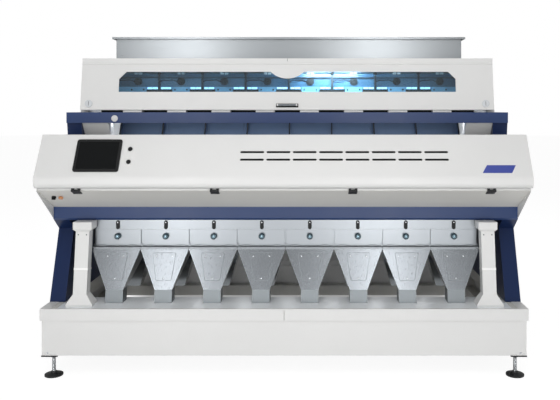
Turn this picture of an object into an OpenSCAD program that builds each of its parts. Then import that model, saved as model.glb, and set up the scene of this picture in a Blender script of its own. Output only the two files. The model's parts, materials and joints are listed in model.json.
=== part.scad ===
// Optical colour sorter with eight lanes: grain runs from a stainless hopper over vibrating
// trays and down sloping chutes, past the cameras and air nozzles, into the funnels over the base.
// Millimetres, +Z up. The origin is on the floor under the middle of the machine.
// Heights are measured from the floor, and depths from the front face of the base.

/* [Lanes] */
// Distance from one lane to the next
lane_pitch = 315; // [295:1:335]
// Width from the edge of the outer lane to the outer face of the side frame
side_bay = 258; // [245:1:300]

/* [Base] */
// Height of the underside of the base above the floor
ground_gap = 136; // [120:1:170]
// Height of the base panels
base_h = 292; // [270:1:330]
// Depth of the base
base_d = 1510; // [1480:1:1560]
// Height of the proud band round the top of the base
band_h = 72; // [50:1:100]
// How far the band stands proud of the lower panel
band_proud = 10; // [5:1:15]
// Thickness of the painted panels
panel_t = 4; // [3:0.5:6]
// Side of the square tubes inside the base
base_tube = 80; // [70:1:80]
// Wall of the square tubes
tube_wall = 5; // [3:0.5:8]
// Depth of the stainless deck on top of the base, behind its front edge
deck_d = 288; // [280:1:320]

/* [Feet] */
// Diameter of the foot pads
foot_d = 113; // [90:1:130]
// Height of a foot pad with its neck
foot_h = 26; // [20:1:34]
// Diameter of the foot rods
foot_rod_d = 22; // [16:1:26]
// Side of the square foot plates
foot_plate = 102; // [80:1:110]
// Thickness of the foot plates
foot_plate_t = 6; // [4:0.5:10]
// How far the foot plates lie outside the middle of the rods
plate_off = 12; // [0:1:14]
// Distance from a side of the machine to the foot rods
foot_inset = 70; // [64:1:74]

/* [Side frames] */
// Thickness of a side frame
frame_t = 100; // [90:1:115]
// Depth of the toe of the leg
leg_toe = 167; // [150:1:190]
// Depth of the waist, where the leg meets the slope under the console
waist_y = 328; // [320:1:340]
// Height of the waist above the base
waist_h = 448; // [430:1:470]
// Depth of the rear edge of the side frames
frame_rear = 1400; // [1380:1:1440]

/* [Beams] */
// Depth of the front face of the lower beam
beam_y = 225; // [215:1:235]
// Thickness of the lower beam
beam_d = 80; // [70:1:90]
// Height of the lower beam
beam_h = 88; // [80:1:100]
// Height of the lower beam's underside above the base
beam_rise = 516; // [505:1:530]
// Depth of the front face of the upper beam
top_beam_y = 464; // [455:1:480]
// Thickness of the upper beam
top_beam_d = 70; // [60:1:80]
// Height of the upper beam
top_beam_h = 73; // [60:1:80]
// Height of the upper beam's underside above the base
top_beam_rise = 1147; // [1140:1:1160]

/* [Dust ducts] */
// Distance from the edge of the outer lane to the middle of a duct
duct_off = 40; // [38:1:60]
// Width of a duct's shaft
duct_w = 86; // [70:1:88]
// Thickness of a duct's shaft
duct_d = 70; // [60:1:76]
// Width of a duct's foot
duct_foot_w = 168; // [140:1:172]
// Depth of the front of a duct's foot
duct_foot_y = 74; // [60:1:100]
// Depth of the front of a duct's head
duct_head_y = 140; // [130:1:146]

/* [Collectors] */
// Depth of the front face of the doors and of the strip above them
collector_y = 254; // [245:1:262]
// Height of the fixed strip above the doors
strip_h = 63; // [55:1:75]
// Height of a sampling door
door_h = 103; // [90:1:115]
// Gap between two neighbouring doors
door_gap = 15; // [12:1:25]
// Sheet thickness of the stainless pieces
sheet_t = 3; // [2:0.5:4]
// Straight height at the top of a funnel
funnel_band = 12; // [8:1:20]
// Height of the sloping part of a funnel
funnel_h = 252; // [230:1:265]
// How far the funnels stand in front of the doors
funnel_set = 41; // [38:1:44]
// Depth of a front funnel at its mouth
funnel_d = 327; // [310:1:340]
// Width of a funnel's outlet
outlet_w = 113; // [90:1:130]
// Depth of a funnel's outlet
outlet_d = 97; // [80:1:110]
// Depth of the front of the outlets' top edge
outlet_y = 170; // [160:1:190]
// How far forward an outlet spout runs towards its lower end
spout_lean = 15; // [8:1:25]
// Diameter of a door's pull knob
knob_d = 41; // [30:1:50]
// Diameter of the hinge rod of the doors
hinge_rod_d = 6; // [5:0.5:7]
// Width of a swing latch
latch_w = 24; // [18:1:28]
// Length of a swing latch
latch_len = 58; // [45:1:58]
// Width of an inspection plate at its top
hatch_top_w = 147; // [120:1:160]
// Width of an inspection plate at its bottom
hatch_low_w = 98; // [80:1:104]
// Height of an inspection plate
hatch_h = 172; // [150:1:185]

/* [Console] */
// How far the console's nose stands in front of the base
nose_overhang = 90; // [80:1:110]
// Height of the console's lower lip above the base
lip_rise = 756; // [750:1:770]
// Slope of the console's face from level
face_angle = 60; // [58:1:64]
// Height of the console's top edge above its lip
face_rise = 324; // [310:1:335]
// Depth of the console's top edge
face_top_y = 59; // [50:1:70]
// Radius of the bend from the face into the nose
nose_r = 60; // [40:1:70]
// Radius of the lower lip
lip_r = 35; // [25:1:40]
// Sheet thickness of the console cover
cover_t = 4; // [3:0.5:5]
// Width of the touch screen's frame
screen_w = 280; // [240:1:320]
// Height of the touch screen's frame along the face
screen_h = 220; // [180:1:230]
// Distance from the machine's left side to the middle of the screen
screen_in = 368; // [360:1:420]
// Diameter of the push-buttons
button_d = 28; // [22:1:32]
// Length of a vent slot
vent_len = 148; // [120:1:155]
// Height of a vent slot
vent_h = 15; // [10:1:18]
// Distance from one vent slot to the next
vent_pitch = 163; // [160:1:170]

/* [Chutes] */
// Slope of the chutes from level
chute_angle = 60; // [58:1:62]
// Length of a chute
chute_len = 880; // [840:1:900]
// Depth of the lower end of the chutes
chute_low_y = 690; // [680:1:700]
// Height of the lower end of the chutes above the base
chute_low_rise = 704; // [695:1:715]
// Thickness of a chute plate
chute_t = 8; // [5:0.5:10]
// Height of the dividers between the chutes
divider_h = 40; // [25:1:60]

/* [Feeder housing] */
// Gap between the side frames and the feeder housing
housing_gap = 16; // [12:1:24]
// Height of the feeder housing
housing_h = 358; // [350:1:380]
// Distance from the side of the machine to the side of the feeder housing
housing_in = 98; // [90:1:99]
// Depth of the rear of the feeder housing
housing_rear = 1250; // [1240:1:1300]
// Height of the fixed fascia above the feeder door
fascia_h = 40; // [30:1:50]
// Depth of the feeder door's lower front edge
door_low_y = 450; // [440:1:460]
// Depth of the feeder door's upper front edge
door_top_y = 500; // [490:1:510]
// Thickness of the feeder door with its folded edges
door_t = 24; // [18:1:26]
// Width of the feeder window
window_w = 2322; // [2200:1:2400]
// Height of the feeder window
window_h = 141; // [120:1:150]
// Distance from the top of the feeder door to the window
window_drop = 54; // [45:1:60]
// Width of the chamfered upper corners of the window
window_cut = 50; // [30:1:60]
// Width of the round tab that hangs into the window
tab_w = 230; // [180:1:260]
// Depth of the round tab
tab_h = 47; // [30:1:60]
// Length of the feeder door's handle
handle_w = 153; // [120:1:180]
// Diameter of the feeder door's locks
lock_d = 50; // [40:1:54]

/* [Feeders and hopper] */
// Height of the tray floor above the feeder housing's floor
tray_rise = 276; // [268:1:280]
// Depth of the front of the trays
tray_y = 765; // [755:1:775]
// Length of a tray
tray_len = 345; // [330:1:350]
// Height of the tray walls
tray_wall = 42; // [35:1:44]
// Gap between two neighbouring trays
tray_gap = 19; // [12:1:30]
// Sheet thickness of the trays
tray_t = 2; // [1.5:0.5:3]
// Depth of the front of the hopper
hopper_y = 750; // [745:1:755]
// Depth of the hopper, front to rear
hopper_d = 400; // [380:1:420]
// Height of the hopper above the feeder housing
hopper_h = 171; // [150:1:190]
// Width of the hopper's turned-out rim
rim_w = 25; // [15:1:30]
// Height of the rim's folded edge
rim_fold = 15; // [10:1:22]
// Width of the slot under the hopper
slot_d = 94; // [80:1:100]

/* [Fits] */
// Gap between pieces that move past each other
run_gap = 0.3; // [0.2:0.05:0.6]
// Gap round a door or cover
seam = 0.6; // [0.4:0.1:0.9]

/* [Hidden] */
$fn = 48;
lanes = 8;
lane_numbers = [1 : lanes];
function numbered(name) = [for (i = lane_numbers) str(name, "_", i)];

// Colours
white = "#dedede";
blue = "#33446f";
steel = "#9ba0a3";
dark_steel = "#74787a";
grey = "#a8a8a4";
black = "#1c1d1f";

// Widths
lanes_w = lanes * lane_pitch;
machine_w = lanes_w + 2 * side_bay;
half_w = machine_w / 2;
frame_in = half_w - frame_t;

// Heights
base_top = ground_gap + base_h;
beam_z = base_top + beam_rise;
top_beam_z = base_top + top_beam_rise;
frame_top = top_beam_z + top_beam_h;
housing_z = frame_top + housing_gap;
housing_top = housing_z + housing_h;
hopper_top = housing_top + hopper_h;
deck_z = base_top - 2 * sheet_t;

// Keeps sloping faces that are seated on each other from biting
hair = 0.05;

// Moves a piece from the front face of the base to the middle of the machine
module stand() {
    translate([0, front_y, 0])
        children();
}

// Draws an outline of depths and heights, as long as w across the machine
module across(w) {
    rotate([90, 0, 90])
        linear_extrude(height = w, center = true)
            children();
}

// The same outline as a plate on both sides, from the inner to the outer distance
module on_both_sides(inner, outer) {
    for (s = [-1, 1])
        translate([s * (inner + outer) / 2, 0, 0])
            across(outer - inner)
                children();
}

function lane_x(i) = (i - (lanes + 1) / 2) * lane_pitch;

module each_lane() {
    for (i = lane_numbers)
        translate([lane_x(i), 0, 0])
            children();
}

// A box given by its low and high corners
module block(low, high) {
    translate(low)
        cube(high - low);
}

// A solid between two level rectangles, each [left, right, front, rear, height]
module loft(low, high) {
    corners = [for (r = [low, high]) each
        [[r[0], r[2], r[4]], [r[1], r[2], r[4]], [r[1], r[3], r[4]], [r[0], r[3], r[4]]]];
    polyhedron(points = corners, faces = [[0, 1, 2, 3], [7, 6, 5, 4], [4, 5, 1, 0],
        [5, 6, 2, 1], [6, 7, 3, 2], [7, 4, 0, 3]]);
}

module rounded_plate(w, h, r) {
    square([w - 2 * r, h], center = true);
    square([w, h - 2 * r], center = true);
    for (x = [-1, 1], y = [-1, 1])
        translate([x * (w / 2 - r), y * (h / 2 - r)])
            circle(r);
}

module oblong(len, w) {
    square([len - w, w], center = true);
    for (s = [-1, 1])
        translate([s * (len - w) / 2, 0])
            circle(d = w);
}

function arc(c, r, from, to, steps) =
    [for (i = [0 : steps]) let (a = from + (to - from) * i / steps) c + r * [cos(a), sin(a)]];

// Base
base_flange = 60;
front_flange = 20;
rail_low = ground_gap;
inner_y = band_proud + panel_t;
rail_x = half_w - inner_y;
seam_slit = 3;
rear_flange_y = frame_rear - 10;

// A welded skirt: lower sheets, the proud band, and a flange that turns in on top
module base_panels() color(white) stand() {
    difference() {
        union() {
            block([band_proud - half_w, band_proud, ground_gap],
                [half_w - band_proud, base_d - band_proud, base_top]);
            block([-half_w, 0, base_top - band_h], [half_w, base_d, base_top]);
        }
        block([-rail_x, inner_y, ground_gap - 1], [rail_x, base_d - inner_y, base_top - panel_t]);
        block([panel_t - half_w, panel_t, base_top - band_h + panel_t],
            [half_w - panel_t, base_d - panel_t, base_top - panel_t]);
        block([base_flange - half_w, front_flange, ground_gap],
            [half_w - base_flange, rear_flange_y, base_top + 1]);
        block([-seam_slit / 2, -1, base_top - band_h - 1], [seam_slit / 2, panel_t, base_top + 1]);
    }
}

module square_tube(len, wall) {
    across(len)
        difference() {
            square(base_tube);
            translate([wall, wall])
                square(base_tube - 2 * wall);
        }
}

// A folded rail under the deck, open below
deck_rail = 50;

module channel(len, wall) {
    across(len)
        difference() {
            square(deck_rail);
            translate([wall, -wall])
                square([deck_rail - 2 * wall, deck_rail]);
        }
}

foot_x = half_w - foot_inset;
foot_y = inner_y + base_tube / 2;
rear_foot_y = base_d - foot_y;
front_y = (nose_overhang - max(base_d, rear_foot_y + foot_d / 2)) / 2;
rod_room = 1;
rail_room = 1;

module each_foot() {
    for (x = [-foot_x, foot_x], y = [foot_y, rear_foot_y])
        translate([x, y, 0])
            children();
}

top_rail_z = deck_z - sheet_t - deck_rail;
mid_rail_y = outlet_y - spout_lean + outlet_d + 4;

module base_frame() color(dark_steel) stand() {
    difference() {
        for (y = [inner_y, base_d - inner_y - base_tube])
            translate([0, y, rail_low])
                square_tube(2 * rail_x, tube_wall);
        each_foot()
            translate([0, 0, rail_low - 1])
                cylinder(d = foot_rod_d + 2 * rod_room, h = tube_wall + 2);
    }
    for (s = [-1, 1])
        translate([s * (rail_x - base_tube / 2), base_d / 2, 0])
            rotate(90)
                for (z = [rail_low, base_top - panel_t - base_tube])
                    translate([0, -base_tube / 2, z])
                        square_tube(base_d - 2 * inner_y - 2 * base_tube, tube_wall);
    for (x = [-1, 1], y = [inner_y, base_d - inner_y - base_tube])
        translate([x * (rail_x - base_tube / 2), y + base_tube / 2, rail_low + base_tube])
            linear_extrude(base_h - base_tube - panel_t)
                square(base_tube, center = true);
    for (y = [inner_y + base_tube + rail_room, mid_rail_y])
        translate([0, y, top_rail_z])
            channel(2 * (rail_x - base_tube), tube_wall);
}

// The deck is cut out under every outlet spout
module base_deck() color(steel) stand() {
    difference() {
        block([base_tube - rail_x, inner_y + seam, deck_z - sheet_t],
            [rail_x - base_tube, inner_y + deck_d, deck_z]);
        each_lane()
            loft(spout_rect(sheet_t, deck_z - 2 * sheet_t), spout_rect(sheet_t, deck_z + 1));
    }
}

module foot_plates() color(black) stand() {
    difference() {
        for (s = [-1, 1], y = [foot_y, rear_foot_y])
            translate([s * (foot_x + plate_off), y, ground_gap - foot_plate_t])
                linear_extrude(foot_plate_t)
                    rounded_plate(foot_plate, foot_plate, foot_plate_t);
        each_foot()
            cylinder(d = foot_rod_d + 2 * run_gap, h = ground_gap + 1);
    }
}

pad_edge = 9;
neck_d = foot_rod_d + 16;
nut_h = 14;
nut_d = foot_rod_d * 1.75;

module levelling_feet() color(black) stand() {
    each_foot() {
        rotate_extrude()
            polygon([[0, 0], [foot_d / 2, 0], [foot_d / 2, pad_edge], [neck_d / 2 + 4, foot_h - 8],
                [neck_d / 2, foot_h], [foot_rod_d / 2, foot_h],
                [foot_rod_d / 2, ground_gap + base_tube / 2], [0, ground_gap + base_tube / 2]]);
        difference() {
            translate([0, 0, ground_gap - foot_plate_t - nut_h])
                cylinder(d = nut_d, h = nut_h, $fn = 6);
            cylinder(d = foot_rod_d + 2 * run_gap, h = ground_gap);
        }
    }
}

// Side frames and beams
beam_chamfer = 14;
post_set_back = 25;
frame_top_rear = housing_rear;
shoulder_rise = 700;
rear_shoulder = base_top + shoulder_rise;
// Depth of the front edge of the side frames behind the console, at height z
function frame_edge(z) = beam_y + beam_d + (z - beam_z - beam_h)
    * (top_beam_y + post_set_back - beam_y - beam_d) / (top_beam_z - top_beam_h - beam_z - beam_h);

module side_frames() color(blue) stand() {
    on_both_sides(frame_in, half_w)
        polygon([[leg_toe, base_top], [waist_y, base_top + waist_h], [beam_y + beam_chamfer, beam_z],
            [beam_y + beam_d, beam_z], [beam_y + beam_d, beam_z + beam_h],
            [top_beam_y + post_set_back, top_beam_z - top_beam_h],
            [top_beam_y + post_set_back / 2, top_beam_z],
            [top_beam_y + top_beam_d, top_beam_z], [top_beam_y + top_beam_d, frame_top],
            [frame_top_rear, frame_top], [frame_rear, rear_shoulder], [frame_rear, base_top]]);
}

chute_low_z = base_top + chute_low_rise;
chute_rail_w = 60;
chute_rail_d = 40;
chute_rail_places = [0.2, 0.5];

// Places a piece on the product side of the chutes: Y runs up the slope, Z stands off it
module on_chute() {
    translate([0, chute_low_y, chute_low_z])
        rotate([chute_angle, 0, 0])
            children();
}

// Front beams seat in the notches of the side frames, and chute rails span between them
module cross_beams() color(blue) stand() {
    across(machine_w)
        polygon([[beam_y, beam_z + beam_chamfer], [beam_y + beam_chamfer, beam_z],
            [beam_y + beam_d, beam_z], [beam_y + beam_d, beam_z + beam_h], [beam_y, beam_z + beam_h]]);
    translate([0, top_beam_y, top_beam_z])
        across(machine_w)
            square([top_beam_d, top_beam_h]);
    on_chute()
        for (share = chute_rail_places)
            translate([0, share * chute_len, -chute_t])
                across(2 * frame_in)
                    translate([0, -chute_rail_d])
                        square([chute_rail_w, chute_rail_d]);
}

// Dust ducts
duct_x = lanes_w / 2 + duct_off;
duct_flange_t = 12;
duct_flare_h = 62;
duct_head_h = 46;
duct_head_w = duct_w + 34;
duct_clear = 6;
duct_head_d = collector_y - duct_clear - duct_head_y;
duct_foot_d = duct_d + 34;
duct_neck_h = 14;
duct_step = 8;

function duct_rect(w, y, d, z) = [-w / 2, w / 2, y, y + d, z];

module dust_ducts() color(white) stand() {
    foot_z = deck_z + duct_flange_t;
    flare_z = foot_z + duct_flare_h;
    head_z = beam_z - duct_head_h;
    shaft_low = duct_rect(duct_w, duct_foot_y + (duct_foot_d - duct_d) / 2, duct_d, flare_z);
    shaft_top = duct_rect(duct_w, duct_head_y + duct_step, duct_d, head_z - duct_neck_h);
    for (s = [-1, 1])
        translate([s * duct_x, 0, 0])
            union() {
                loft(duct_rect(duct_foot_w, duct_foot_y, duct_foot_d, deck_z),
                    duct_rect(duct_foot_w, duct_foot_y, duct_foot_d, foot_z));
                loft(duct_rect(duct_foot_w, duct_foot_y, duct_foot_d, foot_z), shaft_low);
                loft(shaft_low, shaft_top);
                loft(shaft_top, duct_rect(duct_head_w, duct_head_y, duct_head_d, head_z));
                loft(duct_rect(duct_head_w, duct_head_y, duct_head_d, head_z),
                    duct_rect(duct_head_w, duct_head_y, duct_head_d, beam_z));
            }
}

// Collectors
door_w = lane_pitch - door_gap;
strip_low = beam_z - strip_h;
door_top = strip_low - seam;
door_low = door_top - door_h;
hinge_room = run_gap;
knuckle_d = hinge_rod_d + 2 * hinge_room + 4;
door_hinge_y = collector_y + sheet_t - knuckle_d / 2;
door_hinge_z = door_low - knuckle_d / 4;
funnel_y = collector_y - funnel_set;
funnel_top = door_hinge_z - knuckle_d / 2 - seam;
funnel_low = funnel_top - funnel_band - funnel_h;
funnel_gap = 2;
mouth_w = lane_pitch - funnel_gap;
strip_flange = 46;
strip_fold = 40;
strip_step = 1.5;
latch_t = 5;
latch_pin_d = 8;
latch_drop = 17;
latch_z = beam_z - latch_drop;
lug_w = door_gap - 5;

// Stainless strip under the beam, with the hinge rod of the doors and the side walls of the collectors
module collector_strip() color(steel) stand() {
    difference() {
        across(lanes_w)
            union() {
                translate([collector_y + strip_step, strip_low])
                    square([sheet_t, strip_h - strip_fold + sheet_t]);
                translate([collector_y, beam_z - strip_fold])
                    square([sheet_t, strip_fold]);
                translate([collector_y, beam_z - sheet_t])
                    square([strip_flange, sheet_t]);
            }
        each_lane()
            translate([0, collector_y - 1, latch_z])
                rotate([-90, 0, 0])
                    cylinder(d = latch_pin_d + 2 * run_gap, h = sheet_t + 2);
    }
    translate([0, door_hinge_y, door_hinge_z])
        rotate([0, 90, 0])
            cylinder(d = hinge_rod_d, h = lanes_w + lug_w, center = true);
    for (i = [0 : lanes])
        translate([(i - lanes / 2) * lane_pitch, 0, 0])
            difference() {
                block([-lug_w / 2, door_hinge_y - knuckle_d / 2, funnel_top],
                    [lug_w / 2, door_hinge_y + knuckle_d / 2, door_hinge_z + knuckle_d / 2]);
                translate([0, door_hinge_y, door_hinge_z])
                    rotate([0, 90, 0])
                        cylinder(d = hinge_rod_d, h = lug_w + 2, center = true);
            }
    wall_x = lanes_w / 2 + seam;
    on_both_sides(wall_x, wall_x + sheet_t)
        translate([collector_y, funnel_top])
            square([funnel_y + 2 * funnel_d - collector_y, beam_z - funnel_top]);
}

// Rectangles of a front funnel, drawn in by the sheet for its inside
function mouth_rect(in, z) = [in - mouth_w / 2, mouth_w / 2 - in,
    funnel_y + in, funnel_y + funnel_d - in, z];
// The open part of the mouth, behind the folded ledge under the doors
function open_rect(z) = [sheet_t - mouth_w / 2, mouth_w / 2 - sheet_t,
    door_hinge_y - knuckle_d / 2 - seam, funnel_y + funnel_d - sheet_t, z];
function outlet_rect(in, z) = [in - outlet_w / 2, outlet_w / 2 - in,
    outlet_y + in, outlet_y + outlet_d - in, z];
function spout_rect(in, z) = [in - outlet_w / 2, outlet_w / 2 - in,
    outlet_y - spout_lean + in, outlet_y - spout_lean + outlet_d - in, z];

module front_funnels() color(steel) stand() {
    band_z = funnel_top - funnel_band;
    each_lane()
        difference() {
            union() {
                loft(outlet_rect(0, funnel_low), mouth_rect(0, band_z));
                loft(mouth_rect(0, band_z), mouth_rect(0, funnel_top));
            }
            union() {
                loft(outlet_rect(sheet_t, funnel_low - 0.01), mouth_rect(sheet_t, band_z));
                loft(mouth_rect(sheet_t, band_z), mouth_rect(sheet_t, funnel_top - sheet_t));
                loft(open_rect(funnel_top - 2 * sheet_t), open_rect(funnel_top + 1));
            }
        }
}

funnel_lean = atan((funnel_y - outlet_y) / funnel_h);
hatch_drop = 24;
hatch_t = 3;
hatch_r = 8;

// Places a piece on the sloping front of a funnel: Z runs up the sheet, -Y stands off it
module on_funnel_front() {
    translate([0, funnel_y, funnel_top - funnel_band])
        rotate([-funnel_lean, 0, 0])
            children();
}

module inspection_plates() color(steel) stand() {
    each_lane()
        on_funnel_front()
            translate([0, -hair, 0])
                rotate([90, 0, 0])
                    linear_extrude(hatch_t)
                        offset(r = hatch_r, $fn = 16)
                            polygon([[-hatch_low_w / 2 + hatch_r, -hatch_drop - hatch_h + hatch_r],
                                [hatch_low_w / 2 - hatch_r, -hatch_drop - hatch_h + hatch_r],
                                [hatch_top_w / 2 - hatch_r, -hatch_drop - hatch_r],
                                [-hatch_top_w / 2 + hatch_r, -hatch_drop - hatch_r]]);
}

module outlet_spouts() color(dark_steel) stand() {
    each_lane()
        difference() {
            loft(spout_rect(0, deck_z), outlet_rect(0, funnel_low));
            loft(spout_rect(sheet_t, deck_z - 0.01), outlet_rect(sheet_t, funnel_low + 0.01));
        }
}

// Second row of funnels, behind the first, for what the air nozzles throw out
rear_y = funnel_y + funnel_d;
rear_out_y = rear_y + 60;
function rear_mouth(in, z) = mouth_rect(in, z) + [0, 0, funnel_d, funnel_d, 0];
function rear_outlet(in, z) = outlet_rect(in, z) + [0, 0, rear_out_y - outlet_y, rear_out_y - outlet_y, 0];

module rear_funnels() color(steel) stand() {
    band_z = funnel_top - funnel_band;
    each_lane()
        difference() {
            union() {
                loft(rear_outlet(0, deck_z), rear_mouth(0, band_z));
                loft(rear_mouth(0, band_z), rear_mouth(0, funnel_top));
            }
            union() {
                loft(rear_outlet(sheet_t, deck_z - 0.01), rear_mouth(sheet_t, band_z));
                loft(rear_mouth(sheet_t, band_z), rear_mouth(sheet_t, funnel_top + 1));
            }
        }
}

knuckle_w = 46;
knuckle_off = door_w / 3;
door_return = 14;
knob_stem = 12;
knob_h = 30;
knob_drop = 44;

// Sampling door with folded sides, two hinge knuckles round the rod, and a turned pull knob
module sampling_door(i) color(steel) stand() {
    translate([lane_x(i), 0, 0]) {
        difference() {
            union() {
                block([-door_w / 2, collector_y, door_low], [door_w / 2, collector_y + sheet_t, door_top]);
                for (s = [-1, 1])
                    translate([s * (door_w - sheet_t) / 2, 0, 0])
                        block([-sheet_t / 2, collector_y, door_low + knuckle_d],
                            [sheet_t / 2, collector_y + door_return, door_top - sheet_t]);
                for (s = [-1, 1])
                    translate([s * knuckle_off, 0, 0]) {
                        translate([0, door_hinge_y, door_hinge_z])
                            rotate([0, 90, 0])
                                cylinder(d = knuckle_d, h = knuckle_w, center = true);
                        block([-knuckle_w / 2, collector_y, door_hinge_z],
                            [knuckle_w / 2, collector_y + sheet_t, door_low + sheet_t]);
                    }
            }
            translate([0, door_hinge_y, door_hinge_z])
                rotate([0, 90, 0])
                    cylinder(d = hinge_rod_d + 2 * hinge_room, h = door_w, center = true);
        }
        translate([0, collector_y, door_top - knob_drop])
            rotate([90, 0, 0])
                rotate_extrude()
                    polygon(concat([[0, 0], [knob_stem / 2, 0], [knob_stem / 2, knob_h / 3],
                        [knob_d / 2, knob_h / 2]], arc([0, knob_h / 2], knob_d / 2, 20, 80, 5),
                        [[0, knob_h / 2 + knob_d / 2]]));
    }
}

// Black latch that swings on its own pin over the strip
module swing_latch(i) color(black) stand() {
    translate([lane_x(i), collector_y - run_gap, latch_z])
        rotate([90, 0, 0]) {
            linear_extrude(latch_t)
                translate([0, -(latch_len - latch_w) / 2])
                    rotate(90)
                        oblong(latch_len, latch_w);
            translate([0, 0, -sheet_t - run_gap - latch_t])
                cylinder(d = latch_pin_d, h = sheet_t + run_gap + latch_t);
            translate([0, 0, latch_t])
                cylinder(d1 = latch_pin_d + 4, d2 = latch_pin_d, h = 3);
        }
}

// Console
cover_half = half_w + 4;
lip_z = base_top + lip_rise;
face_top_z = lip_z + face_rise;
nose_y = -nose_overhang;
bend_c = [nose_y + nose_r, face_top_z
    - ((face_top_y - nose_y - nose_r) * sin(face_angle) + nose_r) / cos(face_angle)];
lip_c = [nose_y + lip_r, lip_z + lip_r];
cover_flange = 36;
lip_back = lip_c[0] + 30;
end_t = 3;
bend_steps = 4;
lip_steps = 8;

// Outline of the cover, drawn in by a sheet thickness for its inside
function cover_line(in) = concat(
    [[face_top_y + cover_flange, face_top_z - in],
     [face_top_y + in * tan(face_angle / 2), face_top_z - in]],
    arc(bend_c, nose_r - in, 90 + face_angle, 180, bend_steps),
    arc(lip_c, lip_r - in, 180, 270, lip_steps),
    [[lip_back, lip_z + in]]);
function reversed(list) = [for (i = [len(list) - 1 : -1 : 0]) list[i]];

// Places a piece on the console's face: X across, Y up the face, Z off it
module on_face() {
    translate([0, face_top_y, face_top_z])
        rotate([face_angle, 0, 0])
            children();
}

screen_x = -half_w + screen_in;
screen_mid = -147;
screen_t = 9;
screen_recess = 2;
screen_border = 17;
screen_r = 14;
button_off = 55;
button_x = screen_x + screen_w / 2 + button_off;
button_at = [-103, -191];
button_room = 0.4;
button_travel = 4;
button_proud = 7;
button_ring = 4;
vents = 8;
vent_rows = [-121, -173];
vent_x = 373;
button_boss_h = 3;

module console_cover() color(white) stand() {
    difference() {
        union() {
            across(2 * cover_half)
                polygon(concat(cover_line(0), reversed(cover_line(cover_t))));
            on_both_sides(cover_half - end_t, cover_half)
                polygon(cover_line(0));
            on_face()
                for (y = button_at)
                    translate([button_x, y, 0])
                        cylinder(d = button_d + 2 * button_ring, h = button_boss_h);
        }
        on_face() {
            for (y = button_at)
                translate([button_x, y, -2 * cover_t])
                    cylinder(d = button_d + 2 * button_room, h = 4 * cover_t);
            for (y = vent_rows, k = [0 : vents - 1])
                translate([vent_x + (k - (vents - 1) / 2) * vent_pitch, y, -2 * cover_t])
                    linear_extrude(4 * cover_t)
                        oblong(vent_len, vent_h);
        }
    }
}

module touch_screen() color(black) stand() on_face() {
    translate([screen_x, screen_mid, hair])
        difference() {
            linear_extrude(screen_t)
                rounded_plate(screen_w, screen_h, screen_r);
            translate([0, 0, screen_t - screen_recess])
                linear_extrude(screen_recess + 1)
                    square([screen_w - 2 * screen_border, screen_h - 2 * screen_border], center = true);
        }
}

// A push-button: cap, stem through the face, and a collar behind it that limits its way out
module push_button(y) color(black) stand() on_face() {
    translate([button_x, y, -cover_t - button_travel]) {
        cylinder(d = button_d, h = cover_t + button_travel + button_boss_h + button_proud - 2);
        translate([0, 0, cover_t + button_travel + button_boss_h + button_proud - 2])
            cylinder(d1 = button_d, d2 = button_d - 4, h = 2);
        translate([0, 0, -button_ring])
            cylinder(d = button_d + 2 * button_ring, h = button_ring + button_travel - run_gap);
    }
}

// The sloping pan under the console, between the console's ends
pan_front = [lip_c[0] + 8, lip_z - 17];
pan_rear = [beam_y, beam_z + beam_h];
pan_angle = atan((pan_front[1] - pan_rear[1]) / (pan_rear[0] - pan_front[0]));
pan_len = norm(pan_rear - pan_front);
pan_t = 3;
pan_half = half_w - end_t - seam;
switch_d = 27;
switch_hole = 16;
switch_in = 73;
switch_x = -half_w + switch_in;
stop_in = 117;
stop_x = -half_w + stop_in;
switch_at = 104;

// Places a piece on the pan: Y runs down its slope to the rear, -Z stands off its outer side
module on_pan() {
    translate([0, pan_front[0], pan_front[1]])
        rotate([-pan_angle, 0, 0])
            children();
}

module console_underpan() color(grey) stand() on_pan() {
    difference() {
        block([-pan_half, 0, 0], [pan_half, pan_len, pan_t]);
        for (x = [switch_x, stop_x])
            translate([x, switch_at, -1])
                cylinder(d = switch_hole + 2 * button_room, h = pan_t + 2);
    }
}

// Fixed parts of the console: its two ends, the rail over the pan's front edge and the sheet on top
rail_d = 24;
rail_top = lip_z - 3;
roof_drop = 12;
roof_front = face_top_y + 12;
roof_fall = 15;
roof_rear_z = face_top_z - cover_t - roof_drop - roof_fall;
roof_rear = frame_edge(roof_rear_z - pan_t) - seam;
end_front = lip_back + 4;

module console_cabinet() color(white) stand() {
    pan_top = pan_front + (pan_t + hair) * [sin(pan_angle), cos(pan_angle)];
    fall = tan(pan_angle);
    across(2 * pan_half)
        polygon([pan_top + [2, -2 * fall], [pan_top[0] + 2, rail_top], [pan_top[0] + rail_d, rail_top],
            pan_top + [rail_d, -rail_d * fall]]);
    roof_z = face_top_z - cover_t - roof_drop;
    across(2 * pan_half)
        polygon([[roof_front, roof_z], [roof_rear, roof_rear_z], [roof_rear, roof_rear_z - pan_t],
            [roof_front, roof_z - pan_t]]);
    on_both_sides(half_w - end_t, half_w)
        polygon([pan_front - [0, 6], [beam_y, beam_z + beam_chamfer], [beam_y, beam_z + beam_h],
            [beam_y + beam_d - seam, beam_z + beam_h], [roof_rear, roof_rear_z], [roof_front, roof_z],
            [end_front, bend_c[1]], [end_front, rail_top], [pan_front[0], rail_top]]);
}

hinge_w = 54;
hinge_d = 15;
hinge_x = [-0.84, -0.28, 0.28, 0.84];
hinge_leaf = 42;
hinge_leaf_t = 5;
hinge_c = [pan_front[0] - hinge_d / 2, pan_front[1] + 2];
hinge_mid = hinge_w * 0.42;

module each_hinge() {
    for (share = hinge_x)
        translate([share * half_w, 0, 0])
            children();
}

module hinge_knuckle(w) {
    translate([0, hinge_c[0], hinge_c[1]])
        rotate([0, 90, 0])
            cylinder(d = hinge_d, h = w, center = true);
}

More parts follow.
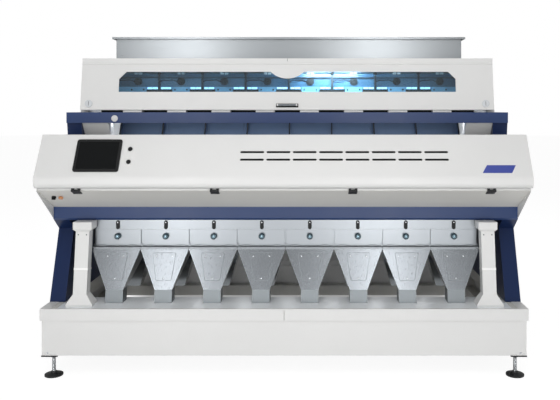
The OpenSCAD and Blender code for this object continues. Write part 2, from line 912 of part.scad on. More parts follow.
// Hinge halves that stay: the middle knuckle, and the leaf on the outer side of the pan
module console_hinges() color(black) stand() {
    each_hinge() {
        hinge_knuckle(hinge_mid);
        on_pan() {
            block([seam - hinge_mid / 2, -hinge_d / 2, -hinge_leaf_t], [hinge_mid / 2 - seam, hinge_d, 0]);
            block([-hinge_w / 2, hinge_d / 2, -hinge_leaf_t], [hinge_w / 2, hinge_leaf, 0]);
        }
    }
}

// Hinge halves that open with the cover: the outer knuckles, and the leaf under the lip
module cover_hinge_leaves() color(black) stand() {
    each_hinge()
        for (s = [-1, 1]) {
            side_w = (hinge_w - hinge_mid) / 2 - seam;
            translate([s * (hinge_w - side_w) / 2, 0, 0]) {
                hinge_knuckle(side_w);
                block([-side_w / 2, hinge_c[0], hinge_c[1]],
                    [side_w / 2, hinge_c[0] + hinge_d / 2, lip_z]);
            }
        }
}

knob_grip = 8;
switch_proud = 20;
switch_stem = 14;

// Rotary mains switch on the pan
module main_switch() color(black) stand() on_pan() {
    translate([switch_x, switch_at, 0]) {
        translate([0, 0, -run_gap])
            mirror([0, 0, 1]) {
                cylinder(d = switch_d, h = switch_proud / 2);
                translate([0, 0, switch_proud / 2])
                    linear_extrude(switch_proud / 2)
                        oblong(switch_d - 2, knob_grip);
            }
        translate([0, 0, -run_gap])
            cylinder(d = switch_hole, h = switch_stem + pan_t);
    }
}

stop_travel = 5;

// Mushroom stop button on the pan
module stop_button() color("#e08a4c") stand() on_pan() {
    translate([stop_x, switch_at, 0]) {
        translate([0, 0, -stop_travel - run_gap - switch_proud / 2])
            cylinder(d1 = switch_d, d2 = switch_d + 2, h = switch_proud / 2);
        translate([0, 0, -stop_travel - run_gap])
            cylinder(d = switch_hole, h = switch_stem + stop_travel);
    }
}

// Chutes
chute_gap = 6;
divider_t = chute_gap - seam;

module chutes() color("#5c6b80") stand() on_chute() {
    each_lane()
        translate([0, chute_len / 2, -chute_t])
            linear_extrude(chute_t)
                square([lane_pitch - chute_gap, chute_len], center = true);
    for (i = [0 : lanes])
        translate([(i - lanes / 2) * lane_pitch, chute_len / 2, -chute_t])
            linear_extrude(chute_t + divider_h)
                square([divider_t, chute_len], center = true);
}

// White boxes under the ends of the upper beam, and the edge sheets of the outer chutes
bay_in = 22;
bay_y = top_beam_y + 28;
bay_d = 120;
bay_h = 125;
bay_set = 90;
cheek_w = 56;
cheek_t = 4;
cheek_low = 350;
cheek_high = 580;
cheek_off = 24;

module bay_covers() color(white) stand() {
    bay_top = top_beam_z - seam;
    on_both_sides(lanes_w / 2 - bay_in, frame_in)
        polygon([[bay_y, bay_top], [bay_y + bay_d, bay_top], [bay_y + bay_d, bay_top - bay_h],
            [bay_y + bay_set, bay_top - bay_h]]);
    cheek_x = (lanes_w + divider_t) / 2 + seam;
    on_chute()
        for (s = [-1, 1])
            translate([s * (cheek_x + cheek_w / 2), cheek_low, cheek_off])
                linear_extrude(cheek_t)
                    translate([-cheek_w / 2, 0])
                        square([cheek_w, cheek_high - cheek_low]);
}

// Feeder housing
housing_half = half_w - housing_in;
fascia_low = housing_top - fascia_h;
door_top_z = fascia_low - seam;
door_low_z = housing_z + 2;
door_lean = atan((door_top_y - door_low_y) / (door_top_z - door_low_z));
feeder_door_h = norm([door_top_y - door_low_y, door_top_z - door_low_z]);
wall_lip = 22;
roll_d = 7;
roll_rod_d = 3;
roll_lug = 10;
sill_in = door_t + 3;
foot_strip_w = 50;
hopper_half = lanes_w / 2 - 5;
hopper_room = 0.5;

// Places a piece on the feeder door: Z runs up from its top edge, -Y stands off its front
module on_feeder_door() {
    translate([0, door_top_y, door_top_z])
        rotate([-door_lean, 0, 0])
            children();
}

// A bar on the line of the feeder door's hinge
module hinge_line(d, len) {
    rotate([0, 90, 0])
        cylinder(d = d, h = len, center = true, $fn = 24);
}

// Housing with the rod of the door's hinge, which two lugs hold in a hollow under the fascia
module feeder_housing() color(white) stand() {
    difference() {
        housing_sheets();
        translate([0, door_top_y, door_top_z])
            hinge_line(roll_d + 2 * run_gap, 2 * (housing_half - roll_lug));
    }
    translate([0, door_top_y, door_top_z]) {
        hinge_line(roll_rod_d, 2 * housing_half - roll_lug);
        for (s = [-1, 1])
            translate([s * (housing_half - roll_lug / 2), 0, 0])
                hinge_line(roll_d, roll_lug);
    }
}

// Folded sheets round the feeders; the front lips stop the door and hold the tongues of its locks
module housing_sheets() {
    on_both_sides(housing_half - panel_t, housing_half)
        polygon([[door_low_y + sill_in, housing_z], [door_top_y + sill_in, fascia_low],
            [door_top_y, fascia_low], [door_top_y, housing_top - panel_t],
            [housing_rear, housing_top - panel_t], [housing_rear, housing_z]]);
    on_both_sides(housing_half - panel_t - wall_lip, housing_half - panel_t)
        polygon([[door_low_y + sill_in, housing_z + panel_t],
            [door_low_y + sill_in + panel_t, housing_z + panel_t],
            [door_top_y + sill_in + panel_t, fascia_low - panel_t],
            [door_top_y + sill_in, fascia_low - panel_t]]);
    inside = 2 * (housing_half - panel_t);
    floor_rear = chute_low_y + (housing_z - chute_low_z) / tan(chute_angle) - 1.5 * divider_h;
    translate([0, door_low_y + sill_in, housing_z])
        across(inside)
            square([floor_rear - door_low_y - sill_in, panel_t]);
    translate([0, door_top_y, fascia_low])
        across(inside)
            square([panel_t, fascia_h - panel_t]);
    translate([0, housing_rear - panel_t, housing_z])
        across(inside)
            square([panel_t, housing_h - panel_t]);
    across(2 * housing_half)
        translate([door_top_y, housing_top - panel_t])
            square([hopper_y - hopper_room - door_top_y, panel_t]);
    across(2 * housing_half)
        translate([slope_y(housing_top) + 5, housing_top - panel_t])
            square([housing_rear - slope_y(housing_top) - 5, panel_t]);
    on_both_sides(hopper_half + hopper_room, housing_half)
        translate([hopper_y - hopper_room, housing_top - panel_t])
            square([slope_y(housing_top) + 5 - hopper_y + hopper_room, panel_t]);
    on_both_sides(frame_in - foot_strip_w / 2, frame_in + foot_strip_w / 2)
        translate([top_beam_y + top_beam_d, frame_top])
            square([housing_rear - top_beam_y - top_beam_d, housing_gap]);
}

window_low = window_drop + window_h;
tab_r = (pow(tab_w / 2, 2) + pow(tab_h, 2)) / (2 * tab_h);
window_grow = 14;

module window_outline() {
    difference() {
        polygon([[-window_w / 2, -window_low], [window_w / 2, -window_low],
            [window_w / 2, -window_drop - window_cut], [window_w / 2 - window_cut, -window_drop],
            [window_cut - window_w / 2, -window_drop], [-window_w / 2, -window_drop - window_cut]]);
        translate([0, tab_r - tab_h - window_drop])
            circle(tab_r, $fn = 96);
    }
}

lock_x = housing_half - 58;
lock_z = -feeder_door_h + 42;
lock_stem = 18;

// Folded door whose top edge is rolled round the hinge rod
module feeder_door() color(white) stand() on_feeder_door() {
    half = housing_half;
    roll_len = 2 * (half - roll_lug - run_gap);
    difference() {
        union() {
            block([-half, 0, -feeder_door_h], [half, door_t, 0]);
            hinge_line(roll_d, roll_len);
        }
        hinge_line(roll_rod_d + 2 * run_gap, roll_len + 1);
        for (s = [-1, 1])
            translate([s * half, 0, 0])
                hinge_line(roll_d + 2 * run_gap, 2 * (roll_lug + run_gap));
        block([sheet_t - half, sheet_t, sheet_t - feeder_door_h], [half - sheet_t, door_t + 1, -sheet_t]);
        translate([0, sheet_t + 1, 0])
            rotate([90, 0, 0])
                linear_extrude(sheet_t + 2)
                    window_outline();
        for (s = [-1, 1])
            translate([s * lock_x, -1, lock_z])
                rotate([-90, 0, 0])
                    cylinder(d = lock_stem + 2 * run_gap, h = sheet_t + 2);
    }
}

pane_t = 4;

module window_pane() color("#5fa8cf", 0.4) stand() on_feeder_door() {
    translate([0, sheet_t, -window_low - window_grow])
        block([-window_w / 2 - window_grow, 0, 0],
            [window_w / 2 + window_grow, pane_t, window_h + 2 * window_grow]);
}

handle_h = 25;
handle_t = 4;
handle_bar = 11;
handle_reach = 26;
handle_in = 29;
handle_z = -feeder_door_h + handle_in;

// Pull handle: a dark plate with a bow bar
module door_handle() color(black) stand() on_feeder_door() {
    translate([0, 0, handle_z])
        rotate([90, 0, 0]) {
            linear_extrude(handle_t)
                rounded_plate(handle_w, handle_h, 3);
            for (s = [-1, 1])
                translate([s * (handle_w / 2 - handle_bar), 0, handle_t])
                    cylinder(d = handle_bar, h = handle_reach - handle_t);
            translate([0, 0, handle_reach - handle_bar / 2])
                rotate([0, 90, 0])
                    cylinder(d = handle_bar, h = handle_w - 2 * handle_bar, center = true);
        }
}

tongue_len = 46;
tongue_w = 14;
tongue_t = 4;
lock_h = 7;
lock_slot = 3;
tongue_y = sill_in + panel_t + 2;

// Quarter-turn lock: slotted disc, stem through the door, and a tongue that turns behind the lip
module cam_lock(s) color("#c9ccce") stand() on_feeder_door() {
    translate([s * lock_x, -run_gap, lock_z])
        rotate([90, 0, 0]) {
            difference() {
                cylinder(d = lock_d, h = lock_h);
                translate([0, 0, lock_h])
                    cube([lock_slot, lock_d * 0.6, lock_slot], center = true);
            }
            translate([0, 0, -tongue_y - tongue_t])
                cylinder(d = lock_stem, h = tongue_y + tongue_t);
            translate([-tongue_w / 2, 0, -tongue_y - tongue_t])
                cube([tongue_w, tongue_len, tongue_t]);
        }
}

// Feeders
tray_z = housing_z + tray_rise;
tray_w = lane_pitch - tray_gap;
drive_w = 116;
drive_y = tray_y + 14;
drive_d = 150;
drive_base_h = 48;
coil_w = 92;
coil_d = 74;
bracket_h = 14;
bracket_d = 130;
spring_t = 5;
spring_w = 70;
disc_d = 55;
disc_t = 20;
disc_drop = 68;
shield_w = tray_w - 12;
shield_t = 4;
shield_drop = 8;
shield_rise = 128;
shield_z = housing_z + shield_rise;
plate_w = 125;
plate_d = 22;
plate_lap = 40;
seat_z = tray_z - tray_t - bracket_h - run_gap;
bracket_y = drive_y + coil_d + 6;

// Vibrating tray: an open-ended channel with the bracket that its springs carry
module feeder_tray(i) color(steel) stand() {
    translate([lane_x(i), 0, 0])
        union() {
            difference() {
                block([-tray_w / 2, tray_y, tray_z - tray_t],
                    [tray_w / 2, tray_y + tray_len, tray_z + tray_wall]);
                block([tray_t - tray_w / 2, tray_y + tray_t, tray_z],
                    [tray_w / 2 - tray_t, tray_y + tray_len + 1, tray_z + tray_wall + 1]);
            }
            block([-spring_w / 2, bracket_y, seat_z + run_gap],
                [spring_w / 2, bracket_y + bracket_d, tray_z - tray_t]);
        }
}

// Drive under each tray: base, magnet coil with its round front, and a pair of leaf springs
module feeder_drives() color("#4f8fb5") stand() {
    floor_z = housing_z + panel_t;
    base_top_z = floor_z + drive_base_h;
    each_lane() {
        block([-drive_w / 2, drive_y, floor_z], [drive_w / 2, drive_y + drive_d, base_top_z]);
        block([-coil_w / 2, drive_y, base_top_z], [coil_w / 2, drive_y + coil_d, seat_z - 8]);
        block([-shield_w / 2, drive_y - shield_t, shield_z],
            [shield_w / 2, drive_y, tray_z - tray_t - shield_drop]);
        block([-plate_w / 2, drive_y - plate_d, floor_z], [plate_w / 2, drive_y, shield_z + plate_lap]);
        translate([0, drive_y, tray_z - disc_drop])
            rotate([90, 0, 0])
                cylinder(d = disc_d, h = disc_t);
        for (k = [0, 1])
            translate([0, bracket_y + 8 + k * (drive_y + drive_d - bracket_y - spring_t - 16), 0])
                block([-spring_w / 2, 0, base_top_z], [spring_w / 2, spring_t, seat_z]);
    }
}

// Hopper
hopper_fall = 53;
hopper_low = tray_z + tray_wall + 6;
slot_y = hopper_y + 36;
hopper_rear = hopper_y + hopper_d;
slope_top = hopper_top - hopper_fall;
// Depth of the outer side of the sloping rear sheet at height z
function slope_y(z) = slot_y + slot_d
    + (hopper_rear - slot_y - slot_d) * (z - hopper_low) / (slope_top - hopper_low);

module hopper_section(in, over) {
    polygon([[hopper_y + in, hopper_top + over], [hopper_y + in, housing_top - 2 * panel_t],
        [slot_y + in, hopper_low], [slot_y + in, hopper_low - over],
        [slot_y + slot_d - in, hopper_low - over], [slot_y + slot_d - in, hopper_low],
        [hopper_rear - in, slope_top], [hopper_rear - in, hopper_top + over]]);
}

module hopper() color(steel) stand() {
    difference() {
        union() {
            across(2 * hopper_half)
                hopper_section(0, 0);
            block([-hopper_half - rim_w, hopper_y - rim_w, hopper_top - rim_fold],
                [hopper_half + rim_w, hopper_rear + rim_w, hopper_top]);
        }
        across(2 * (hopper_half - sheet_t))
            hopper_section(sheet_t, 1);
        difference() {
            block([sheet_t - hopper_half - rim_w, hopper_y - rim_w + sheet_t, hopper_top - rim_fold - 1],
                [hopper_half + rim_w - sheet_t, hopper_rear + rim_w - sheet_t, hopper_top - sheet_t]);
            block([-hopper_half, hopper_y, hopper_top - rim_fold - 2],
                [hopper_half, hopper_rear, hopper_top]);
        }
    }
}

// Optical boxes on both sides of the falling grain, and the bar of air nozzles under the front one
optic_y = beam_y + beam_d + 35;
optic_d = 230;
optic_rise = 60;
optic_h = 300;
glass_cut = 60;
rear_optic_y = chute_low_y + 50;
rear_optic_d = 350;
rear_optic_h = 170;
ejector_y = optic_y + optic_d - 30;
ejector_d = 60;
ejector_h = 56;
ejector_z = beam_z + 44;
nozzle_d = 14;

module optics_boxes() color(grey) stand() {
    low = beam_z + beam_h + optic_rise;
    across(2 * frame_in)
        polygon([[optic_y, low], [optic_y + optic_d - glass_cut, low],
            [optic_y + optic_d, low + glass_cut], [optic_y + optic_d, low + optic_h],
            [optic_y + optic_d / 2, low + optic_h], [optic_y, low + optic_h / 2]]);
    across(2 * frame_in)
        polygon([[rear_optic_y, chute_low_z - rear_optic_h],
            [rear_optic_y + rear_optic_d, chute_low_z - rear_optic_h],
            [rear_optic_y + rear_optic_d, chute_low_z - 12], [rear_optic_y + glass_cut, chute_low_z - 12],
            [rear_optic_y, chute_low_z - glass_cut]]);
}

module ejector_bar() color(dark_steel) stand() {
    across(2 * frame_in)
        translate([ejector_y, ejector_z])
            square([ejector_d, ejector_h]);
    each_lane()
        translate([0, ejector_y + ejector_d, ejector_z + ejector_h / 2])
            across(lane_pitch - 2 * tray_gap)
                polygon([[0, -ejector_h / 4], [nozzle_d, 0], [nozzle_d, 4], [0, ejector_h / 4]]);
}

module rear_cover() color(white) stand() {
    across(2 * frame_in)
        polygon([[frame_rear - panel_t, base_top], [frame_rear, base_top], [frame_rear, rear_shoulder],
            [frame_top_rear, frame_top], [frame_top_rear - panel_t, frame_top],
            [frame_rear - panel_t, rear_shoulder]]);
}

base_frame();
base_panels();
base_deck();
foot_plates();
levelling_feet();
side_frames();
cross_beams();
dust_ducts();
console_cabinet();
console_underpan();
console_hinges();
collector_strip();
front_funnels();
inspection_plates();
outlet_spouts();
rear_funnels();
chutes();
bay_covers();
feeder_housing();
hopper();
feeder_drives();
optics_boxes();
ejector_bar();
rear_cover();
console_cover();
cover_hinge_leaves();
touch_screen();
push_button(button_at[0]);  // button_upper
push_button(button_at[1]);  // button_lower
main_switch();
stop_button();
feeder_door();
window_pane();
door_handle();
cam_lock(-1);  // cam_lock_left
cam_lock(1);  // cam_lock_right
for (i = lane_numbers)
    sampling_door(i);
for (i = lane_numbers)
    swing_latch(i);
for (i = lane_numbers)
    feeder_tray(i);
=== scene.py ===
"""Finishes, trim and studio for an optical colour sorter with eight lanes.

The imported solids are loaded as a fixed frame. The operators give every solid its finish, add the
small pieces that the solids leave out, and set up the camera, the lamps and the floor.
"""

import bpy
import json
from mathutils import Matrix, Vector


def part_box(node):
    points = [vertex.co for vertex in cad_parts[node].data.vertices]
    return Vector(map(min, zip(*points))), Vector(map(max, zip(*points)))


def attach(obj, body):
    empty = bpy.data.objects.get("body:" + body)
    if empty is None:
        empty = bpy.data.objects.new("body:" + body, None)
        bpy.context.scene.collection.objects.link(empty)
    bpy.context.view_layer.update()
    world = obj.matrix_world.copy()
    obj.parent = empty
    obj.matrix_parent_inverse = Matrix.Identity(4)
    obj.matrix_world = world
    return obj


bl_info = {
    "name": "Colour sorter dressing",
    "version": (1, 0, 0),
    "blender": (4, 5, 0),
    "location": "3D View > Sidebar > Sorter",
    "description": "Finishes, trim and studio for an optical colour sorter",
    "category": "Object",
}

import json
import math

import bmesh
import bpy
from mathutils import Matrix, Vector

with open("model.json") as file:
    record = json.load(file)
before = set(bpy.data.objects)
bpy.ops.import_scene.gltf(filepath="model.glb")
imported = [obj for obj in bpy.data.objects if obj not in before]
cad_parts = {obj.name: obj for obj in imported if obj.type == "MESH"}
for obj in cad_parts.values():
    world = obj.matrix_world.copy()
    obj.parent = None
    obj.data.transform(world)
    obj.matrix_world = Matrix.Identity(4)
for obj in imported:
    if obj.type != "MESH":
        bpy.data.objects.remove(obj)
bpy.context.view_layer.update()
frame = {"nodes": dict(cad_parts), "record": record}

# Sizes and places are in millimetres. FRONT, the lamps and the floor are in Blender's metres.
MM = 0.001
FULL_TURN = 2 * math.pi
LANES = range(1, 9)
LANE_X = [sum(corner[0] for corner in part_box(f"sampling_door_{i}")) / 2 / MM for i in LANES]
PITCH = LANE_X[1] - LANE_X[0]
# The lines between the lanes, and the outer edges of the row
BETWEEN_X = [LANE_X[0] + (k - 0.5) * PITCH for k in range(len(LANES) + 1)]
HALF_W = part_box("base_panels")[1][0] / MM
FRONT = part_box("base_panels")[0][1]
JOINTS = {joint["name"]: joint for joint in frame["record"]["behaviour"]["joints"]}

# Outward directions of the sloping sheets, from the joints that work square to them
FACE_OUT = -Vector(JOINTS["button_upper_press"]["axis"])
PAN_OUT = -Vector(JOINTS["stop_button_press"]["axis"])
DOOR_OUT = -Vector(JOINTS["cam_lock_right_turn"]["axis"])
TO_FRONT = Vector((0, -1, 0))
TO_REAR = Vector((0, 1, 0))
TO_RIGHT = Vector((1, 0, 0))
UP = Vector((0, 0, 1))

# Moves what is drawn behind the base's front face to its place
HERE = Matrix.Translation((0, FRONT, 0))

# Places that repeat the solids. A pair is a depth behind the base's front face and a height.
FACE_TOP = (59.0, 1508.0)
PAN_FRONT = (-47.0, 1167.0)
FRAME_TOP = 1648.0
HOUSING_FLOOR = 1668.0
HOUSING_TOP = 2022.0
DOOR_TOP = (500.0, 1981.4)
DOOR_HEIGHT = 319.34
COLLECTOR_Y = 254.0
FUNNEL_FRONT = (213.0, 756.85)
FUNNEL_H, OUTLET_Y = 252.0, 170.0
FUNNEL_LEAN = math.atan2(FUNNEL_FRONT[0] - OUTLET_Y, FUNNEL_H)
DUCT_X = 1300.0
SHAFT_LOW, SHAFT_TOP = (91.0, 496.0), (148.0, 884.0)
CHUTE_LOW = (690.0, 1132.0)
CHUTE_ANGLE = math.radians(60)
DRIVE_Y = 779.0
TRAY_Z = 1940.0

# The clips of the base's band and the spacers under the feeder housing stand in line
CLIPS, CLIP_PITCH = 8, 304.6
CLIP_X = [(k - (CLIPS - 1) / 2) * CLIP_PITCH for k in range(CLIPS)]
# Width of a small screw's head as a share of a common one's
SMALL = 0.8


def tone(code):
    """Turn an sRGB hex value into linear colour with full alpha."""
    parts = [int(code[i:i + 2], 16) / 255 for i in (0, 2, 4)]
    return [p / 12.92 if p <= 0.04045 else ((p + 0.055) / 1.055) ** 2.4 for p in parts] + [1.0]


def at(x, depth, z):
    """A point given in millimetres: across, behind the base's front face, above the floor."""
    return Vector((x * MM, FRONT + depth * MM, z * MM))


def square_to(point, out):
    """The placing of a piece whose Z points out of a surface and whose Y runs up it."""
    out = out.normalized()
    across = TO_RIGHT if abs(out.x) < 0.9 else Vector((0, out.x, 0))
    up = out.cross(across)
    return Matrix.Translation(point) @ Matrix((across, up, out)).transposed().to_4x4()


def on_face(x, up, off=0.0):
    """A placing on the console's face, measured up from its top edge."""
    point = at(x, *FACE_TOP) + square_to(Vector(), FACE_OUT) @ Vector((0, up * MM, off * MM))
    return square_to(point, FACE_OUT)


def on_pan(x, down, off=0.0):
    """A point on the pan under the console, measured down its slope from the front."""
    down_slope = TO_RIGHT.cross(PAN_OUT)
    return at(x, *PAN_FRONT) + down_slope * (down * MM) + PAN_OUT * (off * MM)


def on_feeder_door(x, up, off=0.0):
    """A placing on the feeder door, measured up from its top edge."""
    point = at(x, *DOOR_TOP) + square_to(Vector(), DOOR_OUT) @ Vector((0, up * MM, off * MM))
    return square_to(point, DOOR_OUT)


# Finishes

def per_metre(size):
    """How often a pattern of the given size in millimetres comes in a metre."""
    return 1 / (size * MM)


def add(tree, kind, values=None, links=None, **settings):
    """Add a node with its settings, its input values and its links."""
    node = tree.nodes.new("ShaderNode" + kind)
    for key, value in settings.items():
        setattr(node, key, value)
    for key, value in (values or {}).items():
        node.inputs[key].default_value = value
    for key, socket in (links or {}).items():
        tree.links.new(socket, node.inputs[key])
    return node


def start(name, colour, sockets):
    """A material with its shader's fixed sockets set, its tree, its shader and its coordinates."""
    made = bpy.data.materials.new(name)
    made.use_nodes = True
    made.diffuse_color = colour
    tree = made.node_tree
    shader = tree.nodes["Principled BSDF"]
    shader.inputs["Base Color"].default_value = colour
    for key, value in sockets.items():
        shader.inputs[key].default_value = value
    return made, tree, shader, add(tree, "TexCoord").outputs["Object"]


def mottle(tree, shader, where, size, colour, amount):
    """Let the colour wander a little over patches of the given size in millimetres."""
    cloud = add(tree, "TexNoise", {"Scale": per_metre(size), "Detail": 3.0, "Roughness": 0.6},
                {"Vector": where})
    darker = [part * (1 - amount) for part in colour[:3]] + [1.0]
    lighter = [min(part * (1 + amount), 1.0) for part in colour[:3]] + [1.0]
    mix = add(tree, "Mix", {"A": darker, "B": lighter}, {"Factor": cloud.outputs["Fac"]}, data_type="RGBA")
    tree.links.new(mix.outputs["Result"], shader.inputs["Base Color"])


def coated_sheet(name, colour, roughness, gloss=0.5):
    """Powder-coated sheet steel: satin, with the fine orange peel of baked powder.

    The peel is really about 2 mm across. It is drawn at 6 mm, so that it shows. The gloss wanders
    nine times in a metre, as on a coat that has been wiped.
    """
    patch, peel, wiped, uneven = 500, 6, 1000 / 9, 0.06
    made, tree, shader, where = start(name, colour, {"Roughness": roughness, "Specular IOR Level": gloss})
    mottle(tree, shader, where, patch, colour, amount=0.035)
    bumps = add(tree, "TexNoise", {"Scale": per_metre(peel), "Detail": 1.0}, {"Vector": where})
    wear = add(tree, "TexNoise", {"Scale": per_metre(wiped), "Detail": 4.0}, {"Vector": where})
    sheen = add(tree, "MapRange", {"To Min": roughness - uneven, "To Max": roughness + uneven},
                {"Value": wear.outputs["Fac"]})
    relief = add(tree, "Bump", {"Strength": 0.05, "Distance": 0.4 * MM}, {"Height": bumps.outputs["Fac"]})
    tree.links.new(sheen.outputs["Result"], shader.inputs["Roughness"])
    tree.links.new(relief.outputs["Normal"], shader.inputs["Normal"])
    return made


# Grain of rolled sheet: six lines to 25 mm, drawn out to 15 times their width, or 10 on the chutes.
# Real lines are under a millimetre apart. These are coarser, so that they show.
GRAIN = 25 / 6
GRAIN_UP = (GRAIN, GRAIN, 15 * GRAIN)
GRAIN_ACROSS = (15 * GRAIN, GRAIN, GRAIN)
GRAIN_DOWN_CHUTE = (GRAIN, 10 * GRAIN, 10 * GRAIN)


def rolled_sheet(name, colour, roughness, grain=GRAIN_UP, uneven=0.06):
    """Bare sheet metal with the drawn-out grain of the rolling mill."""
    patch = 350
    made, tree, shader, where = start(name, colour, {"Metallic": 1.0, "Roughness": roughness})
    mottle(tree, shader, where, patch, colour, amount=0.05)
    run = add(tree, "Mapping", {"Scale": [per_metre(size) for size in grain]}, {"Vector": where})
    lines = add(tree, "TexNoise", {"Scale": 1.0, "Detail": 5.0, "Roughness": 0.65},
                {"Vector": run.outputs["Vector"]})
    sheen = add(tree, "MapRange", {"To Min": roughness - uneven, "To Max": roughness + uneven},
                {"Value": lines.outputs["Fac"]})
    relief = add(tree, "Bump", {"Strength": 0.04, "Distance": 0.3 * MM}, {"Height": lines.outputs["Fac"]})
    tree.links.new(sheen.outputs["Result"], shader.inputs["Roughness"])
    tree.links.new(relief.outputs["Normal"], shader.inputs["Normal"])
    return made


def moulded(name, colour, roughness):
    """Moulded ABS or rubber with a fine spark-eroded grain, drawn at 3 mm so that it shows."""
    patch, grain = 80, 3
    made, tree, shader, where = start(name, colour, {"Roughness": roughness, "Specular IOR Level": 0.25})
    mottle(tree, shader, where, patch, colour, amount=0.12)
    skin = add(tree, "TexVoronoi", {"Scale": per_metre(grain)}, {"Vector": where})
    relief = add(tree, "Bump", {"Strength": 0.08, "Distance": 0.3 * MM}, {"Height": skin.outputs["Distance"]})
    tree.links.new(relief.outputs["Normal"], shader.inputs["Normal"])
    return made


def plated(name, colour, roughness):
    """Polished plating: a mirror with faint wipe marks, nine in 100 mm."""
    wipe = 100 / 9
    made, tree, shader, where = start(name, colour, {"Metallic": 1.0, "Roughness": roughness})
    smear = add(tree, "TexNoise", {"Scale": per_metre(wipe), "Detail": 3.0}, {"Vector": where})
    sheen = add(tree, "MapRange", {"To Min": roughness * 0.6, "To Max": roughness * 1.5},
                {"Value": smear.outputs["Fac"]})
    tree.links.new(sheen.outputs["Result"], shader.inputs["Roughness"])
    return made


def clear_sheet(name, colour):
    """Tinted acrylic: clear, with a faint waviness in what it mirrors, three waves in a metre."""
    wave = 1000 / 3
    sockets = {"Roughness": 0.02, "IOR": 1.49, "Specular IOR Level": 0.2, "Transmission Weight": 1.0}
    made, tree, shader, where = start(name, colour, sockets)
    sway = add(tree, "TexNoise", {"Scale": per_metre(wave), "Detail": 1.0}, {"Vector": where})
    relief = add(tree, "Bump", {"Strength": 0.02, "Distance": 1.0 * MM}, {"Height": sway.outputs["Fac"]})
    tree.links.new(relief.outputs["Normal"], shader.inputs["Normal"])
    return made


def black_glass(name, colour):
    """Screen glass over an unlit display: near black and glossy, a little cloudy."""
    cloud = 250
    sockets = {"Roughness": 0.09, "IOR": 1.52, "Specular IOR Level": 0.15, "Coat Weight": 0.05,
               "Coat Roughness": 0.03}
    made, tree, shader, where = start(name, colour, sockets)
    mottle(tree, shader, where, cloud, colour, amount=0.25)
    return made


def lit_diffuser(name, colour, strength):
    """A milky lamp cover that glows evenly; on the terminal tubes, which are no lamps, the same glow is a
    painted highlight.
    """
    patch = 100
    sockets = {"Roughness": 0.5, "Emission Color": colour, "Emission Strength": strength}
    made, tree, shader, where = start(name, colour, sockets)
    mottle(tree, shader, where, patch, colour, amount=0.05)
    return made


# Every finish has its maker, the property that holds its colour, and its settings.
# The comment before it says what it gives the eye.
FINISHES = {
    # Even satin covers, on which a lamp is a soft glow and no mirror image
    "white powder coat": (coated_sheet, "white", {"roughness": 0.36}),
    # Whiter and shinier, so the collars stand out from the ducts
    "bright white coat": (coated_sheet, "bright", {"roughness": 0.25}),
    # Warmer and duller than the white coat, and darker as painted shade, on sheets that face down or lie
    # inside
    "grey powder coat": (coated_sheet, "grey", {"roughness": 0.42}),
    # Deep blue with little shine, so the frames stay dark beside the covers
    "navy powder coat": (coated_sheet, "navy", {"roughness": 0.34, "gloss": 0.18}),
    # The frames' navy paint, made lighter as painted light on the beams, with a soft sheen along them
    "beam powder coat": (coated_sheet, "beam", {"roughness": 0.36, "gloss": 0.42}),
    # A clear violet blue, the one bright patch on the console
    "blue powder coat": (coated_sheet, "blue", {"roughness": 0.32}),
    # Flat black ironwork
    "black powder coat": (coated_sheet, "black", {"roughness": 0.5, "gloss": 0.35}),
    # A cool near-white deck that takes the funnels' shadows
    "pale enamel": (coated_sheet, "pale", {"roughness": 0.32}),
    # Light blue, glossy and lively under the bay's lamps
    "feeder enamel": (coated_sheet, "feeder", {"roughness": 0.25}),
    # Dark blue behind the window, so the tubes' painted glow stands out
    "shield enamel": (coated_sheet, "shield", {"roughness": 0.3}),
    # Grey metal with a soft upright streak
    "mill stainless": (rolled_sheet, "steel", {"roughness": 0.3}),
    # Darker and a little smoother, so the slopes shade from light to dark
    "funnel stainless": (rolled_sheet, "funnel", {"roughness": 0.26}),
    # The streak runs along the long side
    "hopper stainless": (rolled_sheet, "hopper", {"roughness": 0.3, "grain": GRAIN_ACROSS}),
    # Nearly a mirror, which catches its neighbours between the funnels. Its colour is darker than the other
    # stainless: painted shade in the gaps between the funnels
    "polished stainless": (rolled_sheet, "shaded_polished_steel", {"roughness": 0.12, "uneven": 0.04}),
    # Dark, dull metal that grain has scoured
    "tray stainless": (rolled_sheet, "tray", {"roughness": 0.4}),
    # Greyer and duller than the doors, for spouts and small trim
    "dull stainless": (rolled_sheet, "dull_steel", {"roughness": 0.44}),
    # Bluish and matt, streaked down the slide
    "anodised aluminium": (rolled_sheet, "chute", {"roughness": 0.4, "grain": GRAIN_DOWN_CHUTE}),
    # Pale metal with no clear image in it
    "satin zinc": (rolled_sheet, "zinc", {"roughness": 0.5}),
    # Small bright points on screws and bolts
    "bright zinc": (plated, "zinc", {"roughness": 0.25}),
    # A dark mirror, with one sharp light on each knob. Its dark blue-grey tint is a painted reflection of the
    # dark, blue surroundings
    "black nickel": (plated, "nickel", {"roughness": 0.1}),
    # Black with a soft sheen
    "black abs": (moulded, "plastic", {"roughness": 0.42}),
    # A warm cap with a small highlight
    "orange abs": (moulded, "orange", {"roughness": 0.3}),
    # Black with next to no sheen
    "black rubber": (moulded, "rubber", {"roughness": 0.65}),
    # Clear, with a blue tint over all behind it
    "tinted acrylic": (clear_sheet, "pane", {}),
    # Black, with the room faintly in it
    "screen glass": (black_glass, "glass", {}),
    # A cool white glow: a real lamp on the bay's lamp, and a painted highlight on the terminal tubes
    "lamp cover": (lit_diffuser, "lamp", {"strength": 1.6}),
}

